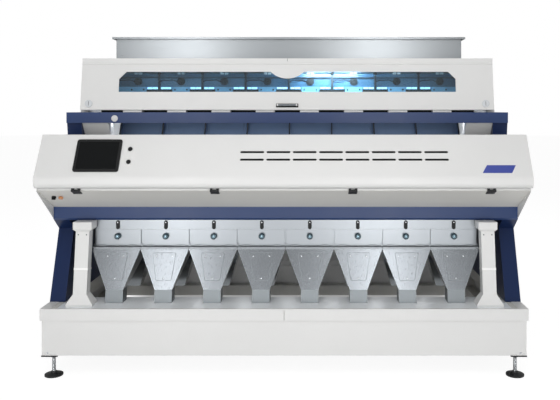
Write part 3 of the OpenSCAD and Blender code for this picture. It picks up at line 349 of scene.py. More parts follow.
# Which finish each solid gets
NODE_FINISH = {
    "white powder coat": ["base_panels", "dust_ducts", "console_cabinet", "console_cover", "bay_covers",
                          "feeder_housing", "feeder_door", "rear_cover"],
    "navy powder coat": ["side_frames"],
    "beam powder coat": ["cross_beams"],
    "grey powder coat": ["console_underpan", "optics_boxes", "base_frame"],
    "black powder coat": ["foot_plates", "levelling_feet", "console_hinges", "cover_hinge_leaves"],
    "pale enamel": ["base_deck"],
    "mill stainless": ["collector_strip"] + [f"sampling_door_{i}" for i in LANES],
    "funnel stainless": ["front_funnels", "inspection_plates"],
    "polished stainless": ["rear_funnels"],
    "tray stainless": [f"feeder_tray_{i}" for i in LANES],
    "hopper stainless": ["hopper"],
    "dull stainless": ["outlet_spouts", "ejector_bar"],
    "anodised aluminium": ["chutes"],
    "feeder enamel": ["feeder_drives"],
    "black abs": ["touch_screen", "button_upper", "button_lower", "main_switch", "door_handle"]
    + [f"swing_latch_{i}" for i in LANES],
    "orange abs": ["stop_button"],
    "tinted acrylic": ["window_pane"],
    "satin zinc": ["cam_lock_left", "cam_lock_right"],
}


def swatch(title, text, code):
    """A colour that a user may change, from its sRGB hex value."""
    return bpy.props.FloatVectorProperty(name=title, description=text, subtype="COLOR", size=4,
                                         min=0.0, max=1.0, default=tone(code))


def measure(title, text, value):
    """A length that a user may change, from its millimetres."""
    return bpy.props.FloatProperty(name=title, description=text, subtype="DISTANCE", unit="LENGTH",
                                   default=value * MM, min=0.1 * MM, max=500 * MM, precision=4)


class SorterFinishes(bpy.types.PropertyGroup):
    """Colours of the finishes."""

    white: swatch("White coat", "Powder coat of the covers and the base", "dfdfde")
    bright: swatch("Bright white", "Coat of the collars round the ducts", "f8f8f7")
    # Darker than the white coat: painted shade on sheets that face down or lie inside
    grey: swatch("Grey coat", "Coat under the console", "d6d5d0")
    navy: swatch("Navy coat", "Coat of the side frames", "16274c")
    # The beams' coat is the frames' navy made lighter: painted light
    beam: swatch("Beam coat", "Coat of the cross beams", "1e3868")
    blue: swatch("Blue coat", "Coat of the bare plate on the console", "35459a")
    pale: swatch("Pale enamel", "Enamel of the deck under the funnels", "f4f8fb")
    black: swatch("Black", "Coat of the feet and hinges", "1b1c1e")
    steel: swatch("Stainless", "Rolled sheet of the strip and doors", "8b8f93")
    funnel: swatch("Funnel stainless", "Rolled sheet of the funnels", "787c80")
    hopper: swatch("Hopper stainless", "Rolled sheet of the hopper", "94989b")
    # Darker than the other stainless: painted shade between the funnels
    shaded_polished_steel: swatch("Bright stainless", "Sheet of the rear funnels", "6f7376")
    dull_steel: swatch("Dull stainless", "Sheet of the outlet spouts", "7b8083")
    chute: swatch("Anodised", "Anodised chute plates", "5f6e86")
    feeder: swatch("Feeder enamel", "Enamel of the feeder drives", "7fb0cc")
    shield: swatch("Shield enamel", "Enamel of the shields over the feeder drives", "365871")
    tray: swatch("Tray stainless", "Sheet of the feeder trays", "56626c")
    plastic: swatch("Black plastic", "Switch, latches and screen frame", "111213")
    rubber: swatch("Rubber", "Seals and caps", "131416")
    orange: swatch("Orange", "Head of the stop button", "cc8e60")
    # The knobs' dark blue-grey tint is a painted reflection
    nickel: swatch("Black nickel", "Pull knobs of the doors", "7b919b")
    zinc: swatch("Zinc", "Screws and locks", "c4c7ca")
    pane: swatch("Window tint", "Acrylic of the feeder window", "c3e2f3")
    glass: swatch("Screen", "Glass of the touch screen", "0d0f10")
    lamp: swatch("Lamp", "Light of the feeder bay", "bfe6ff")


class SorterSizes(bpy.types.PropertyGroup):
    """Sizes of the trim."""

    screw: measure("Screw head", "Diameter of the pan-head screws", 11.0)
    bolt: measure("Bolt head", "Width of the hexagon heads on the side frames", 17.0)
    clip: measure("Clip", "Length of the clips under the base's band", 18.0)
    cap: measure("Coil cap", "Diameter of the round caps on the feeders", 56.0)
    post: measure("Post", "Thickness of the posts between the feeders", 15.0)
    conduit: measure("Conduit", "Diameter of the bent conduits of the feeders", 7.0)


def finish(name):
    """The material of a finish, made when it is first asked for."""
    made = bpy.data.materials.get(name)
    if made is None:
        maker, source, settings = FINISHES[name]
        made = maker(name, list(getattr(bpy.context.scene.sorter_finishes, source)), **settings)
    return made


# Shaping

def fresh(bm, before):
    """The vertices that came after the ones in a set."""
    return [vert for vert in bm.verts if vert not in before]


def round_off(bm, edges, radius):
    """Round edges off by a radius in millimetres."""
    bmesh.ops.bevel(bm, geom=edges, offset=radius * MM, offset_type="OFFSET", segments=2, profile=0.5,
                    affect="EDGES", clamp_overlap=True, material=-1)


def slab(bm, low, high, place, edge=0.0):
    """A box between two corners in millimetres, with rounded edges, set in place."""
    before = set(bm.verts)
    low, high = Vector(low) * MM, Vector(high) * MM
    verts = bmesh.ops.create_cube(bm, size=1.0)["verts"]
    bmesh.ops.scale(bm, vec=high - low, verts=verts)
    bmesh.ops.translate(bm, vec=(low + high) / 2, verts=verts)
    if edge:
        round_off(bm, list({e for vert in verts for e in vert.link_edges}), edge)
    bmesh.ops.transform(bm, matrix=place, verts=fresh(bm, before))


def block(bm, x, half, depths, heights, edge=0.0):
    """A slab with its middle at x, behind the base's front face and above the floor."""
    slab(bm, (x - half, depths[0], heights[0]), (x + half, depths[1], heights[1]), HERE, edge)


def turned(bm, outline, place, steps=24, closed=False):
    """A turned piece: pairs of radius and height in millimetres, spun about Z and set in place."""
    before = set(bm.verts)
    verts = [bm.verts.new((r * MM, 0, h * MM)) for r, h in outline]
    edges = [bm.edges.new(pair) for pair in zip(verts, verts[1:] + verts[:1] if closed else verts[1:])]
    bmesh.ops.spin(bm, geom=verts + edges, cent=(0, 0, 0), axis=(0, 0, 1), angle=FULL_TURN, steps=steps,
                   use_merge=True)
    bmesh.ops.remove_doubles(bm, verts=fresh(bm, before), dist=1e-6)
    bmesh.ops.transform(bm, matrix=place, verts=fresh(bm, before))


def plate(bm, corners, thickness, place, edge=0.0):
    """A flat plate: its corners in millimetres, drawn out along Z and set in place."""
    before = set(bm.verts)
    face = bm.faces.new([bm.verts.new((x * MM, y * MM, 0)) for x, y in corners])
    drawn = bmesh.ops.extrude_face_region(bm, geom=[face])["geom"]
    top = [part for part in drawn if isinstance(part, bmesh.types.BMVert)]
    bmesh.ops.translate(bm, vec=(0, 0, thickness * MM), verts=top)
    if edge:
        round_off(bm, [part for part in drawn if isinstance(part, bmesh.types.BMEdge)], edge)
    bmesh.ops.transform(bm, matrix=place, verts=fresh(bm, before))


def pipe(bm, points, diameter, sides=10):
    """A bent pipe through points, from rings that are bridged one to the next."""
    last = None
    for i, point in enumerate(points):
        ahead = points[min(i + 1, len(points) - 1)] - points[max(i - 1, 0)]
        turn = UP.rotation_difference(ahead).to_matrix().to_4x4()
        ring = bmesh.ops.create_circle(bm, cap_ends=i in (0, len(points) - 1), segments=sides,
                                       radius=diameter * MM / 2, matrix=Matrix.Translation(point) @ turn)
        edges = list({e for vert in ring["verts"] for e in vert.link_edges})
        if last:
            bmesh.ops.bridge_loops(bm, edges=last + edges)
        last = edges


# How far the heads of screws and bolts reach into what they sit on
SUNK = 0.4


def pan_head(bm, point, out, width):
    """A pan-head screw with a round drive recess."""
    r = width / 2
    recess = [(0, r * 0.35), (r * 0.3, r * 0.35), (r * 0.34, r * 0.72)]
    crown = [(r * 0.7, r * 0.66), (r * 0.93, r * 0.42), (r, r * 0.1), (r, -SUNK), (0, -SUNK)]
    turned(bm, recess + crown, square_to(point, out), steps=20)


def hex_head(bm, point, out, width, height):
    """A hexagon head on its washer."""
    r, washer, overlap = width / 2, 1.0, 0.2
    low, place = washer - overlap, square_to(point, out)
    turned(bm, [(0, washer), (r * 1.35, washer), (r * 1.35, -SUNK), (0, -SUNK)], place, steps=20)
    turned(bm, [(0, height), (r * 0.95, height), (r * 1.12, height * 0.85), (r * 1.12, low), (0, low)],
           place, steps=6)


def piece(name, bm, coat, body, angle=20):
    """Finish a mesh: outward normals, smooth shading, its material and its body."""
    bmesh.ops.recalc_face_normals(bm, faces=bm.faces)
    mesh = bpy.data.meshes.new(name)
    bm.to_mesh(mesh)
    bm.free()
    mesh.materials.append(finish(coat))
    mesh.shade_smooth()
    mesh.set_sharp_from_angle(angle=math.radians(angle))
    obj = bpy.data.objects.new(name, mesh)
    bpy.context.scene.collection.objects.link(obj)
    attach(obj, body)


# Operators

class SORTER_OT_finishes(bpy.types.Operator):
    """Give every solid its finish"""

    bl_idname = "sorter.finishes"
    bl_label = "Finishes of the solids"
    bl_options = {"REGISTER", "UNDO"}

    def execute(self, context):
        for coat, nodes in NODE_FINISH.items():
            for name in nodes:
                mesh = frame["nodes"][name].data
                mesh.materials.clear()
                mesh.materials.append(finish(coat))
        return {"FINISHED"}


class SORTER_OT_base_trim(bpy.types.Operator):
    """Add the bolts and clips of the base, and the threads of the feet"""

    bl_idname = "sorter.base_trim"
    bl_label = "Base trim"
    bl_options = {"REGISTER", "UNDO"}

    def execute(self, context):
        # Depth of the skirt's sheet behind the band round its top, and the band's lower edge
        sheet_y, band_z = 10.0, 356.0
        bolt_x, bolt_z, from_corner, head_w, head_h = 1472, 153.0, 60, 10, 4
        rear = (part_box("base_panels")[1][1] - FRONT) / MM - sheet_y
        bm = bmesh.new()
        for s in (-1, 1):
            hex_head(bm, at(s * bolt_x, sheet_y, bolt_z), TO_FRONT, head_w, head_h)
            hex_head(bm, at(s * bolt_x, rear, bolt_z), TO_REAR, head_w, head_h)
            for depth in (from_corner, rear - from_corner):
                hex_head(bm, at(s * (HALF_W - sheet_y), depth, bolt_z), TO_RIGHT * s, head_w, head_h)
        piece("base_bolts", bm, "bright zinc", "machine")

        half, clip_y, clip_h = context.scene.sorter_sizes.clip / MM / 2, 2.5, 4
        bm = bmesh.new()
        for x in CLIP_X:
            block(bm, x, half, (clip_y, sheet_y), (band_z - clip_h, band_z), edge=1.2)
        piece("band_clips", bm, "white powder coat", "machine")

        rod, thread, low, high = 11.0, 2.5, 27.0, 115.0
        inside, root, crest = rod - 0.2, rod + 0.1, rod + 0.7
        turns = int((high - low) / thread)
        outline = [(inside, low)]
        for k in range(turns):
            outline += [(root, low + k * thread), (crest, low + (k + 0.5) * thread)]
        outline += [(root, low + turns * thread), (inside, low + turns * thread)]
        foot_x, foot_front, foot_rear = 1448, 54, 1456
        bm = bmesh.new()
        for depth in (foot_front, foot_rear):
            for s in (-1, 1):
                turned(bm, outline, Matrix.Translation(at(s * foot_x, depth, 0)), steps=20, closed=True)
        piece("foot_threads", bm, "bright zinc", "machine")
        return {"FINISHED"}


class SORTER_OT_frame_trim(bpy.types.Operator):
    """Add the frame's bolts and cap, the rear cover's screws, and what the feeder housing stands on"""

    bl_idname = "sorter.frame_trim"
    bl_label = "Frame trim"
    bl_options = {"REGISTER", "UNDO"}

    def execute(self, context):
        sizes = context.scene.sorter_sizes
        low_z, high_z, head_h = 470, 1600, 3.6
        bm = bmesh.new()
        for s in (-1, 1):
            for depth, z in ((260, low_z), (760, low_z), (1340, low_z), (560, high_z), (1200, high_z)):
                hex_head(bm, at(s * HALF_W, depth, z), TO_RIGHT * s, sizes.bolt / MM, head_h)
        piece("frame_bolts", bm, "bright zinc", "machine")

        cover_y, column_pitch, rows = 1400, 690, (470, 790, 1105)
        bm = bmesh.new()
        for k in range(-2, 3):
            for z in rows:
                pan_head(bm, at(k * column_pitch, cover_y, z), TO_REAR, sizes.screw / MM)
        piece("rear_screws", bm, "bright zinc", "machine")

        cap_place = (-1187, 464, 1606)
        dome = [(0, 5.5), (9, 5.2), (17, 4.2), (21, 2.6), (22.5, 0.6), (22.5, -0.3), (0, -0.3)]
        bm = bmesh.new()
        turned(bm, dome, square_to(at(*cap_place), TO_FRONT), steps=32)
        piece("beam_cap", bm, "white powder coat", "machine")

        half, spacer_y, spacer_top = 65, (470, 528), 1661.5
        bm = bmesh.new()
        for x in CLIP_X:
            block(bm, x, half, spacer_y, (FRAME_TOP, spacer_top), edge=1.5)
        piece("housing_spacers", bm, "white powder coat", "machine")

        half, gasket_y, gasket_top = 1300, (534, 542), 1663.5
        bm = bmesh.new()
        block(bm, 0, half, gasket_y, (FRAME_TOP, gasket_top), edge=1.5)
        piece("housing_gasket", bm, "black rubber", "machine")
        return {"FINISHED"}


class SORTER_OT_duct_trim(bpy.types.Operator):
    """Add the joint collars and screws of the dust ducts"""

    bl_idname = "sorter.duct_trim"
    bl_label = "Duct trim"
    bl_options = {"REGISTER", "UNDO"}

    def execute(self, context):
        rise = (SHAFT_TOP[0] - SHAFT_LOW[0]) / (SHAFT_TOP[1] - SHAFT_LOW[1])
        lean = math.atan(rise)
        out = Vector((0, -math.cos(lean), math.sin(lean)))
        shaft_w, shaft_d = 86.0, 70.0
        collar_z, proud, proud_rear, half_h = 651.0, 2.2, 0.6, 7
        screw_z, screw_side, head_w = 864.0, 26, context.scene.sorter_sizes.screw / MM * SMALL
        half_w = shaft_w / 2 + proud
        collars, screws = bmesh.new(), bmesh.new()
        for s in (-1, 1):
            y = SHAFT_LOW[0] + (collar_z - SHAFT_LOW[1]) * rise
            tilt = Matrix.Translation(at(s * DUCT_X, y, collar_z)) @ Matrix.Rotation(-lean, 4, "X")
            slab(collars, (-half_w, -proud, -half_h), (half_w, shaft_d + proud_rear, half_h), tilt, edge=1.5)
            y = SHAFT_LOW[0] + (screw_z - SHAFT_LOW[1]) * rise
            for x in (-screw_side, screw_side):
                pan_head(screws, at(s * DUCT_X + x, y, screw_z), out, head_w)
        piece("duct_collars", collars, "bright white coat", "machine")
        piece("duct_screws", screws, "dull stainless", "machine")
        return {"FINISHED"}


class SORTER_OT_collector_trim(bpy.types.Operator):
    """Add the knobs, jambs and ledges of the doors, the latches' screws, and the hatches' screws and seals"""

    bl_idname = "sorter.collector_trim"
    bl_label = "Collector trim"
    bl_options = {"REGISTER", "UNDO"}

    def execute(self, context):
        knob_z, knob_r, stem = 836.4, 20.9, 15
        dome = [(knob_r * math.cos(a), stem + knob_r * math.sin(a))
                for a in (math.radians(d) for d in range(90, -1, -10))]
        knob = dome + [(knob_r, 14.4), (7.0, 9.4), (6.5, 0.2), (0, 0.2)]
        latch_y, latch_z = 245.7, 927.0
        rivet = [(0, 2.6), (2.4, 2.4), (4.2, 1.4), (5.0, 0), (5.0, -0.5), (0, -0.5)]
        # Right half of a hatch's seal, and its screws: across, and down the funnel's front
        seal = [(44, -199), (52, -192), (76, -30), (70, -21)]
        seal += [(-x, y) for x, y in reversed(seal)]
        seal_t, hatch_t, hatch_screws = 1.0, 3.0, ((-52, 43), (52, 43), (0, 184))
        head_w = context.scene.sorter_sizes.screw / MM
        lean_out = Vector((0, -math.cos(FUNNEL_LEAN), math.sin(FUNNEL_LEAN)))
        screws, gaskets = bmesh.new(), bmesh.new()
        for i, x in zip(LANES, LANE_X):
            plate(gaskets, seal, seal_t, square_to(at(x, *FUNNEL_FRONT), lean_out))
            bm = bmesh.new()
            turned(bm, knob, square_to(at(x, COLLECTOR_Y, knob_z), TO_FRONT), steps=32)
            piece(f"door_knob_{i}", bm, "black nickel", f"sampling_door_{i}")
            bm = bmesh.new()
            turned(bm, rivet, square_to(at(x, latch_y, latch_z), TO_FRONT), steps=20)
            piece(f"latch_screw_{i}", bm, "bright zinc", f"swing_latch_{i}")
            for side, down in hatch_screws:
                y = FUNNEL_FRONT[0] - down * math.sin(FUNNEL_LEAN)
                z = FUNNEL_FRONT[1] - down * math.cos(FUNNEL_LEAN)
                pan_head(screws, at(x + side, y, z) + lean_out * (hatch_t * MM), lean_out, head_w)
        piece("hatch_screws", screws, "bright zinc", "machine")
        piece("hatch_gaskets", gaskets, "dull stainless", "machine")

        # Behind the doors' gaps stand jambs, and a sill runs along under the doors
        half, jamb_y, jamb_z = 13, (269, 270.2), (770, 941)
        sill_y, sill_z = (257.4, 258.6), (769.2, 786)
        bm = bmesh.new()
        for x in BETWEEN_X[1:-1]:
            block(bm, x, half, jamb_y, jamb_z, edge=0.3)
        slab(bm, (BETWEEN_X[0], sill_y[0], sill_z[0]), (BETWEEN_X[-1], sill_y[1], sill_z[1]), HERE, edge=0.3)
        piece("door_jambs", bm, "mill stainless", "machine")

        half, ledge_y, ledge_z = PITCH / 2 - 2, (213.6, 245.6), (768.8, 769.3)
        bm = bmesh.new()
        for x in LANE_X:
            block(bm, x, half, ledge_y, ledge_z)
        piece("ledge_strips", bm, "satin zinc", "machine")
        return {"FINISHED"}


class SORTER_OT_console_trim(bpy.types.Operator):
    """Add the screen's glass, the button rings, a dark sheet behind the vents as painted shade, the bare
    plate and the screws
    """

    bl_idname = "sorter.console_trim"
    bl_label = "Console trim"
    bl_options = {"REGISTER", "UNDO"}

    def execute(self, context):
        screen_x, screen_up, half_w, half_h, glass_off = -1150.0, -147.0, 122.5, 92.5, (7.0, 8.3)
        bm = bmesh.new()
        slab(bm, (-half_w, -half_h, glass_off[0]), (half_w, half_h, glass_off[1]),
             on_face(screen_x, screen_up), edge=0.6)
        piece("screen_glass", bm, "screen glass", "console_cover")

        button_x, button_ups = -955, (-103, -191)
        ring = [(14.5, 3.0), (14.5, 4.6), (15.4, 5.2), (17.2, 5.0), (18.4, 3.9), (18.4, 0.2), (14.5, 0.2)]
        bm = bmesh.new()
        for up in button_ups:
            turned(bm, ring, on_face(button_x, up), steps=32, closed=True)
        piece("button_rings", bm, "white powder coat", "console_cover")

        # A black sheet with ribs behind the vent slots, which darkens them as painted shade
        sheet_low, sheet_high = (-310, -194, -9), (1056, -100, -7.5)
        ribs, rib_x, rib_pitch, rib_half, rib_up, rib_off = 66, -300, 20.8, 2, (-192, -102), (-7.6, -5.2)
        bm = bmesh.new()
        slab(bm, sheet_low, sheet_high, on_face(0, 0), edge=0.4)
        for x in (rib_x + k * rib_pitch for k in range(ribs)):
            slab(bm, (x - rib_half, rib_up[0], rib_off[0]), (x + rib_half, rib_up[1], rib_off[1]),
                 on_face(0, 0))
        piece("vent_baffle", bm, "black rubber", "console_cover")

        plate_corners, plate_t = [(1215, -264), (1395, -264), (1425, -211), (1247, -211)], 1.0
        bm = bmesh.new()
        plate(bm, plate_corners, plate_t, on_face(0, 0), edge=0.4)
        piece("bare_plate", bm, "blue powder coat", "console_cover")

        hinge_shares, leaf_side, leaf_down, leaf_off = (-0.84, -0.28, 0.28, 0.84), 16, 29, 5.0
        head_w = context.scene.sorter_sizes.screw / MM
        bm = bmesh.new()
        for share in hinge_shares:
            for side in (-leaf_side, leaf_side):
                pan_head(bm, on_pan(share * HALF_W + side, leaf_down, leaf_off), PAN_OUT, head_w * SMALL)
        piece("hinge_screws", bm, "black powder coat", "machine")

        end_screws = ((30, 1190), (215, 1110), (180, 1440), (400, 1420))
        bm = bmesh.new()
        for s in (-1, 1):
            for depth, z in end_screws:
                pan_head(bm, at(s * HALF_W, depth, z), TO_RIGHT * s, head_w)
        piece("console_screws", bm, "bright zinc", "machine")
        return {"FINISHED"}


class SORTER_OT_feeder_door_trim(bpy.types.Operator):
    """Add the grip and ends of the handle, the lock slots and the joint of the fascia"""

    bl_idname = "sorter.feeder_door_trim"
    bl_label = "Feeder door trim"
    bl_options = {"REGISTER", "UNDO"}

    def execute(self, context):
        handle_up, grip_off, grip_half = 29 - DOOR_HEIGHT, 20.5, 65
        grip = [(0, -grip_half), (5.4, -grip_half), (6.1, 1.5 - grip_half), (6.1, grip_half - 1.5),
                (5.4, grip_half), (0, grip_half)]
        bm = bmesh.new()
        along = Matrix.Rotation(math.pi / 2, 4, "Y")
        turned(bm, grip, on_feeder_door(0, handle_up, grip_off) @ along, steps=24)
        piece("handle_grip", bm, "dull stainless", "feeder_door")

        end_x, end_off, button = 65.5, 26.0, [(0, 2.0), (4, 1.8), (6.2, 0.8), (6.6, -0.2), (0, -0.2)]
        bm = bmesh.new()
        for s in (-1, 1):
            turned(bm, button, on_feeder_door(s * end_x, handle_up, end_off), steps=24)
        piece("handle_ends", bm, "white powder coat", "feeder_door")

        lock_x, lock_up, lock_off = 1362, 42 - DOOR_HEIGHT, 0.3
        slot_low, slot_high = (-1.6, -15.2, 5.2), (1.6, 15.2, 6.6)
        for s, name in ((-1, "left"), (1, "right")):
            bm = bmesh.new()
            slab(bm, slot_low, slot_high, on_feeder_door(s * lock_x, lock_up, lock_off))
            piece(f"lock_slot_{name}", bm, "black abs", f"cam_lock_{name}")

        joint_half, joint_y, joint_z = 1, (499.4, 501), (2001, 2021.5)
        bm = bmesh.new()
        block(bm, 0, joint_half, joint_y, joint_z)
        piece("fascia_joint", bm, "black rubber", "machine")
        return {"FINISHED"}


class SORTER_OT_feeder_bank(bpy.types.Operator):
    """Add what shows of the feeders behind the window"""

    bl_idname = "sorter.feeder_bank"
    bl_label = "Feeder bank"
    bl_options = {"REGISTER", "UNDO"}

    def execute(self, context):
        sizes = context.scene.sorter_sizes
        self.coils(sizes.cap / MM / 2, sizes.conduit / MM)
        self.posts(sizes.post / MM)
        self.terminals()
        return {"FINISHED"}

    def coils(self, r, conduit):
        """What each feeder has: a coil's cap and conduit, two screws, clamps and a shield."""
        cap_y, cap_z = DRIVE_Y - 20, TRAY_Z - 68
        cap = [(0, 1.5), (7, 1.5), (8, 3.2), (r * 0.62, 3.2), (r * 0.68, 1.6), (r * 0.9, 1.6), (r, 0.2),
               (r, -19.5), (0, -19.5)]
        screw_side, screw_y, screw_z, screw_w = 44, DRIVE_Y - 22, 1812, 13
        clamp_side, clamp_half, clamp_y, clamp_z = 15, 12, (765.5, 790), (TRAY_Z - 16, TRAY_Z - 2)
        # The conduit leaves the post on the left, bows up and comes down to the coil
        post_y, post_z, coil_in = 748, 1868, 8
        from_post = ((0, 0, 0), (30, -4, 12), (65, -6, 11))
        to_coil = ((-30, -4, 12), (-10, 0, 3), (0, 0, 0))
        caps, screws, conduits = bmesh.new(), bmesh.new(), bmesh.new()
        for i, x in zip(LANES, LANE_X):
            turned(caps, cap, square_to(at(x, cap_y, cap_z), TO_FRONT), steps=32)
            for side in (-screw_side, screw_side):
                pan_head(screws, at(x + side, screw_y, screw_z), TO_FRONT, screw_w)
            post, coil = at(x - PITCH / 2, post_y, post_z), at(x - r, cap_y + coil_in, cap_z)
            route = [post + Vector(step) * MM for step in from_post]
            route += [coil + Vector(step) * MM for step in to_coil]
            pipe(conduits, route, conduit)
            bm = bmesh.new()
            for mid in (x - clamp_side, x + clamp_side):
                block(bm, mid, clamp_half, clamp_y, clamp_z, edge=1.2)
            piece(f"tray_clamps_{i}", bm, "white powder coat", f"feeder_tray_{i}")
        piece("coil_caps", caps, "black rubber", "machine")

        half, shield_y, shield_z = PITCH / 2 - 1, (DRIVE_Y - 5.2, DRIVE_Y - 3.5), (1833, 1928)
        bm = bmesh.new()
        for x in LANE_X:
            block(bm, x, half, shield_y, shield_z, edge=0.5)
        piece("drive_shields", bm, "shield enamel", "machine")
        piece("plate_screws", screws, "black powder coat", "machine")
        piece("coil_conduits", conduits, "black rubber", "machine", angle=60)

    def posts(self, thick):
        """Posts with turned heads between the feeders, and the rod along them."""
        half, post_y, post_top, head_z = thick / 2, 744, 1918, 1917
        head = [(0, 22), (7, 21), (11, 16), (12, 10), (9, 3), (5, 0), (0, 0)]
        rod_half, rod_z, rod_d = 1392, 1898, 7
        bm = bmesh.new()
        for x in BETWEEN_X:
            block(bm, x, half, (post_y, post_y + thick), (HOUSING_FLOOR, post_top), edge=1.5)
            turned(bm, head, Matrix.Translation(at(x, post_y + half, head_z)), steps=20)
        pipe(bm, [at(x, post_y + half, rod_z) for x in (-rod_half, 0, rod_half)], rod_d)
        piece("feeder_posts", bm, "black powder coat", "machine")

    def terminals(self):
        """Black rails with tubes on top between the feeders that glow as painted highlights, the shields'
        joints and the bay's lamp.
        """
        rail_half, rail_y, rail_z = 92, (760, 774), (1700, 1815)
        joint_half, joint_y, joint_z = 17, (776, 779), (1792, 1928)
        tube_y, tube_z, tube_r, chamfer = 757, 1823, 7, 1.5
        tube_ends = ((-86, -52), (-48, -12), (14, 40), (44, 84))
        rails, tubes, joints = bmesh.new(), bmesh.new(), bmesh.new()
        for x in BETWEEN_X[1:-1]:
            block(rails, x, rail_half, rail_y, rail_z, edge=2)
            block(joints, x, joint_half, joint_y, joint_z, edge=0.5)
            for low, high in tube_ends:
                run = high - low
                turned(tubes, [(0, 0), (tube_r - chamfer, 0), (tube_r, chamfer), (tube_r, run - chamfer),
                               (tube_r - chamfer, run), (0, run)],
                       square_to(at(x + low, tube_y, tube_z), TO_RIGHT), steps=20)
        piece("terminal_rails", rails, "black abs", "machine")
        # The tubes are no lamps; their glow is a painted highlight
        piece("terminal_tubes", tubes, "lamp cover", "machine")
        piece("shield_joints", joints, "feeder enamel", "machine")

        lamp_x, lamp_half, lamp_y, lamp_z = 315, 165, (545, 575), (1952, 1968)
        bm = bmesh.new()
        block(bm, lamp_x, lamp_half, lamp_y, lamp_z, edge=3)
        piece("bay_lamp", bm, "lamp cover", "machine")


class SORTER_OT_chute_trim(bpy.types.Operator):
    """Add the liners of the chutes and the edge strips of their dividers"""

    bl_idname = "sorter.chute_trim"
    bl_label = "Chute trim"
    bl_options = {"REGISTER", "UNDO"}

    def execute(self, context):
        out = Vector((0, -math.sin(CHUTE_ANGLE), math.cos(CHUTE_ANGLE)))
        half, low, high, thick = 122, 6, 874, 1.5
        bm = bmesh.new()
        for x in LANE_X:
            slab(bm, (-half, low, 0), (half, high, thick), square_to(at(x, *CHUTE_LOW), out), edge=0.5)
        piece("chute_liners", bm, "anodised aluminium", "machine")

        half, low, high, strip_off = 4.5, 300, 608, (38, 41.5)
        bm = bmesh.new()
        for x in BETWEEN_X:
            slab(bm, (-half, low, strip_off[0]), (half, high, strip_off[1]),
                 square_to(at(x, *CHUTE_LOW), out), edge=1.0)
        piece("divider_edges", bm, "black rubber", "machine")
        return {"FINISHED"}


class SORTER_OT_hopper_trim(bpy.types.Operator):
    """Add the seal under the hopper and the beads of its corners"""

    bl_idname = "sorter.hopper_trim"
    bl_label = "Hopper trim"
    bl_options = {"REGISTER", "UNDO"}

    def execute(self, context):
        low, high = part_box("hopper")
        rim = 25.0
        wall_x = high[0] / MM - rim
        wall_y = (low[1] - FRONT) / MM + rim
        top = high[2] / MM
        seal, seal_z, seal_run, lap = 3.5, (HOUSING_TOP, 2039), 200, 0.1
        side_mid, side_half = wall_x + 1.8, 1.7
        bm = bmesh.new()
        block(bm, 0, wall_x + seal, (wall_y - seal, wall_y - lap), seal_z, edge=1.0)
        for s in (-1, 1):
            block(bm, s * side_mid, side_half, (wall_y - seal, wall_y + seal_run), seal_z, edge=1.0)
        piece("hopper_seal", bm, "black rubber", "machine")

        bead, bead_in, bead_low, below_rim = 3.2, 0.6, HOUSING_TOP + 1, 16
        bm = bmesh.new()
        for s in (-1, 1):
            corner = (s * (wall_x - bead_in), wall_y + bead_in)
            pipe(bm, [at(*corner, bead_low), at(*corner, top - below_rim)], bead)
        piece("hopper_welds", bm, "dull stainless", "machine")
        return {"FINISHED"}


# Lamps: place and target in metres, width and height in metres, watts, colour.
# The ones placed from FRONT are inside the machine.
NEUTRAL = (1, 1, 1)
LAMPS = {
    "key": ((0.0, -5.6, 6.4), (0.0, -0.3, 1.1), (4.7, 2.2), 138, NEUTRAL),
    "strip_left": ((-1.78, -5.6, 1.6), (-1.78, 0.0, 1.6), (0.34, 3.8), 57, NEUTRAL),
    "strip_right": ((1.1, -5.6, 1.6), (1.1, 0.0, 1.6), (0.34, 3.8), 57, NEUTRAL),
    "fill": ((0.0, -4.6, 0.25), (0.0, -0.6, 1.1), (5.0, 0.5), 18, NEUTRAL),
    "rear": ((0.5, 6.0, 5.0), (0.0, 0.0, 1.2), (6.0, 3.0), 60, NEUTRAL),
    "over_chutes": ((0.0, FRONT + 0.56, 1.6), (0.0, FRONT + 0.9, 1.5), (2.5, 0.03), 7, (0.92, 0.96, 1.0)),
    "collectors": ((0.0, FRONT + 0.66, 0.62), (0.0, FRONT + 0.63, 0.4), (2.4, 0.04), 4.5, (0.95, 0.97, 1.0)),
    "bay": ((0.315, FRONT + 0.62, 1.935), (0.315, FRONT + 0.78, 1.86), (0.4, 0.03), 6, (0.95, 0.98, 1.0)),
    "bay_low": ((0.0, FRONT + 0.56, 1.79), (0.0, FRONT + 0.78, 1.81), (2.6, 0.03), 0.65, (0.7, 0.9, 1.0)),
}


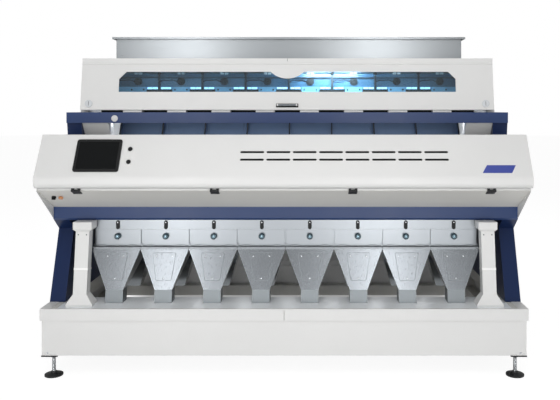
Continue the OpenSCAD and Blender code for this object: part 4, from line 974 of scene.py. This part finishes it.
class SORTER_OT_stage(bpy.types.Operator):
    """Set up the camera, the lamps, the world and the floor"""

    bl_idname = "sorter.stage"
    bl_label = "Stage"
    bl_options = {"REGISTER", "UNDO"}

    # The camera's place in millimetres, and its picture in pixels: size, middle of the lens and focal length
    EYE = (200, -4300, 1664)
    FRAME_W, FRAME_H = 560.0, 400.0
    MID_U, MID_V = 316.3, 110.0
    LENS_PX = 693.0
    SENSOR_W = 36.0
    # How strongly the world lights the part, and how much of its white a mirror shows
    WORLD_LIGHT, WORLD_MIRRORED = 0.3, 0.3
    # The floor goes to white past the machine's ends, front and rear, each over a stretch in metres
    FLOOR_SIZE, FLOOR_GLOW, FLOOR_WHITE = 40.0, 1.2, 0.75
    PAST_END, PAST_FRONT, PAST_REAR = (1.3, 1.5), (FRONT + 0.62, FRONT + 0.42), (FRONT + 2.4, FRONT + 3.2)

    def execute(self, context):
        scene = context.scene
        scene.view_settings.view_transform = "Standard"
        self.camera(scene)
        self.lamps(scene)
        self.world(scene)
        self.floor(scene)
        return {"FINISHED"}

    def camera(self, scene):
        data = bpy.data.cameras.new("camera")
        data.sensor_fit = "HORIZONTAL"
        data.sensor_width = self.SENSOR_W
        data.lens = self.SENSOR_W * self.LENS_PX / self.FRAME_W
        data.shift_x = (self.FRAME_W / 2 - self.MID_U) / self.FRAME_W
        data.shift_y = (self.MID_V - self.FRAME_H / 2) / self.FRAME_W
        data.clip_end = 200
        camera = bpy.data.objects.new("camera", data)
        camera.location = at(*self.EYE)
        camera.rotation_euler = (math.pi / 2, 0, 0)
        scene.collection.objects.link(camera)
        scene.camera = camera

    def lamps(self, scene):
        for name, (place, target, size, power, light) in LAMPS.items():
            data = bpy.data.lights.new(name, "AREA")
            data.shape = "RECTANGLE"
            data.size, data.size_y = size
            data.energy = power
            data.color = light
            lamp = bpy.data.objects.new(name, data)
            lamp.location = place
            lamp.rotation_euler = (Vector(target) - Vector(place)).to_track_quat("-Z", "Y").to_euler()
            scene.collection.objects.link(lamp)

    def world(self, scene):
        """White where it is seen or shows through, dimmer in mirrors and as a light."""
        world = bpy.data.worlds.new("studio")
        world.use_nodes = True
        tree = world.node_tree
        back = tree.nodes["Background"]
        path = add(tree, "LightPath")
        seen = add(tree, "Math", {1: self.WORLD_MIRRORED}, {0: path.outputs["Is Glossy Ray"]},
                   operation="MULTIPLY")
        for ray in ("Is Camera Ray", "Is Transmission Ray"):
            seen = add(tree, "Math", links={0: seen.outputs["Value"], 1: path.outputs[ray]},
                       operation="MAXIMUM")
        level = add(tree, "MapRange", {"To Min": self.WORLD_LIGHT, "To Max": 1.0},
                    {"Value": seen.outputs["Value"]})
        back.inputs["Color"].default_value = (1, 1, 1, 1)
        tree.links.new(level.outputs["Result"], back.inputs["Strength"])
        scene.world = world

    def floor(self, scene):
        """Pale and matt, with the part's shadow, and nearly white round the part where it is seen."""
        made, tree, shader, where = start("pale floor", tone("f4f4f4"), {"Roughness": 0.7})
        glow = add(tree, "Emission", {"Color": (1, 1, 1, 1), "Strength": self.FLOOR_GLOW})
        spot = add(tree, "SeparateXYZ", links={"Vector": where})
        aside = add(tree, "Math", links={0: spot.outputs["X"]}, operation="ABSOLUTE")
        stretches = ((aside.outputs["Value"], self.PAST_END), (spot.outputs["Y"], self.PAST_FRONT),
                     (spot.outputs["Y"], self.PAST_REAR))
        past = [add(tree, "MapRange", {"From Min": near, "From Max": far}, {"Value": value})
                for value, (near, far) in stretches]
        clear = past[0].outputs["Result"]
        for other in past[1:]:
            largest = add(tree, "Math", links={0: clear, 1: other.outputs["Result"]}, operation="MAXIMUM")
            clear = largest.outputs["Value"]
        white = add(tree, "Math", {1: self.FLOOR_WHITE}, {0: clear}, operation="MULTIPLY")
        shade = add(tree, "MixShader", links={"Fac": white.outputs["Value"], 1: shader.outputs["BSDF"],
                                              2: glow.outputs["Emission"]})
        path = add(tree, "LightPath")
        seen = path.outputs["Is Camera Ray"]
        for ray in ("Is Glossy Ray", "Is Transmission Ray"):
            largest = add(tree, "Math", links={0: seen, 1: path.outputs[ray]}, operation="MAXIMUM")
            seen = largest.outputs["Value"]
        whole = add(tree, "MixShader", links={"Fac": seen, 1: shader.outputs["BSDF"],
                                              2: shade.outputs["Shader"]})
        tree.links.new(whole.outputs["Shader"], tree.nodes["Material Output"].inputs["Surface"])
        bm = bmesh.new()
        bmesh.ops.create_grid(bm, x_segments=2, y_segments=2, size=self.FLOOR_SIZE)
        mesh = bpy.data.meshes.new("floor")
        bm.to_mesh(mesh)
        bm.free()
        mesh.materials.append(made)
        floor = bpy.data.objects.new("floor", mesh)
        scene.collection.objects.link(floor)


OPERATORS = (
    SORTER_OT_stage, SORTER_OT_finishes, SORTER_OT_base_trim, SORTER_OT_frame_trim, SORTER_OT_duct_trim,
    SORTER_OT_collector_trim, SORTER_OT_console_trim, SORTER_OT_feeder_door_trim, SORTER_OT_feeder_bank,
    SORTER_OT_chute_trim, SORTER_OT_hopper_trim,
)


class SORTER_PT_panel(bpy.types.Panel):
    """Lists the operators and the sizes and colours that they use"""

    bl_idname = "SORTER_PT_panel"
    bl_label = "Colour sorter"
    bl_space_type = "VIEW_3D"
    bl_region_type = "UI"
    bl_category = "Sorter"

    def draw(self, context):
        for operator in OPERATORS:
            self.layout.operator(operator.bl_idname)
        for group in (context.scene.sorter_sizes, context.scene.sorter_finishes):
            column = self.layout.column(align=True)
            for name in group.__annotations__:
                column.prop(group, name)


CLASSES = (SorterFinishes, SorterSizes) + OPERATORS + (SORTER_PT_panel,)


def register():
    for cls in CLASSES:
        bpy.utils.register_class(cls)
    bpy.types.Scene.sorter_finishes = bpy.props.PointerProperty(type=SorterFinishes)
    bpy.types.Scene.sorter_sizes = bpy.props.PointerProperty(type=SorterSizes)


def unregister():
    del bpy.types.Scene.sorter_sizes
    del bpy.types.Scene.sorter_finishes
    for cls in reversed(CLASSES):
        bpy.utils.unregister_class(cls)


def main():
    register()
    for operator in OPERATORS:
        group, name = operator.bl_idname.split(".")
        getattr(getattr(bpy.ops, group), name)()


if __name__ == "__main__":
    main()
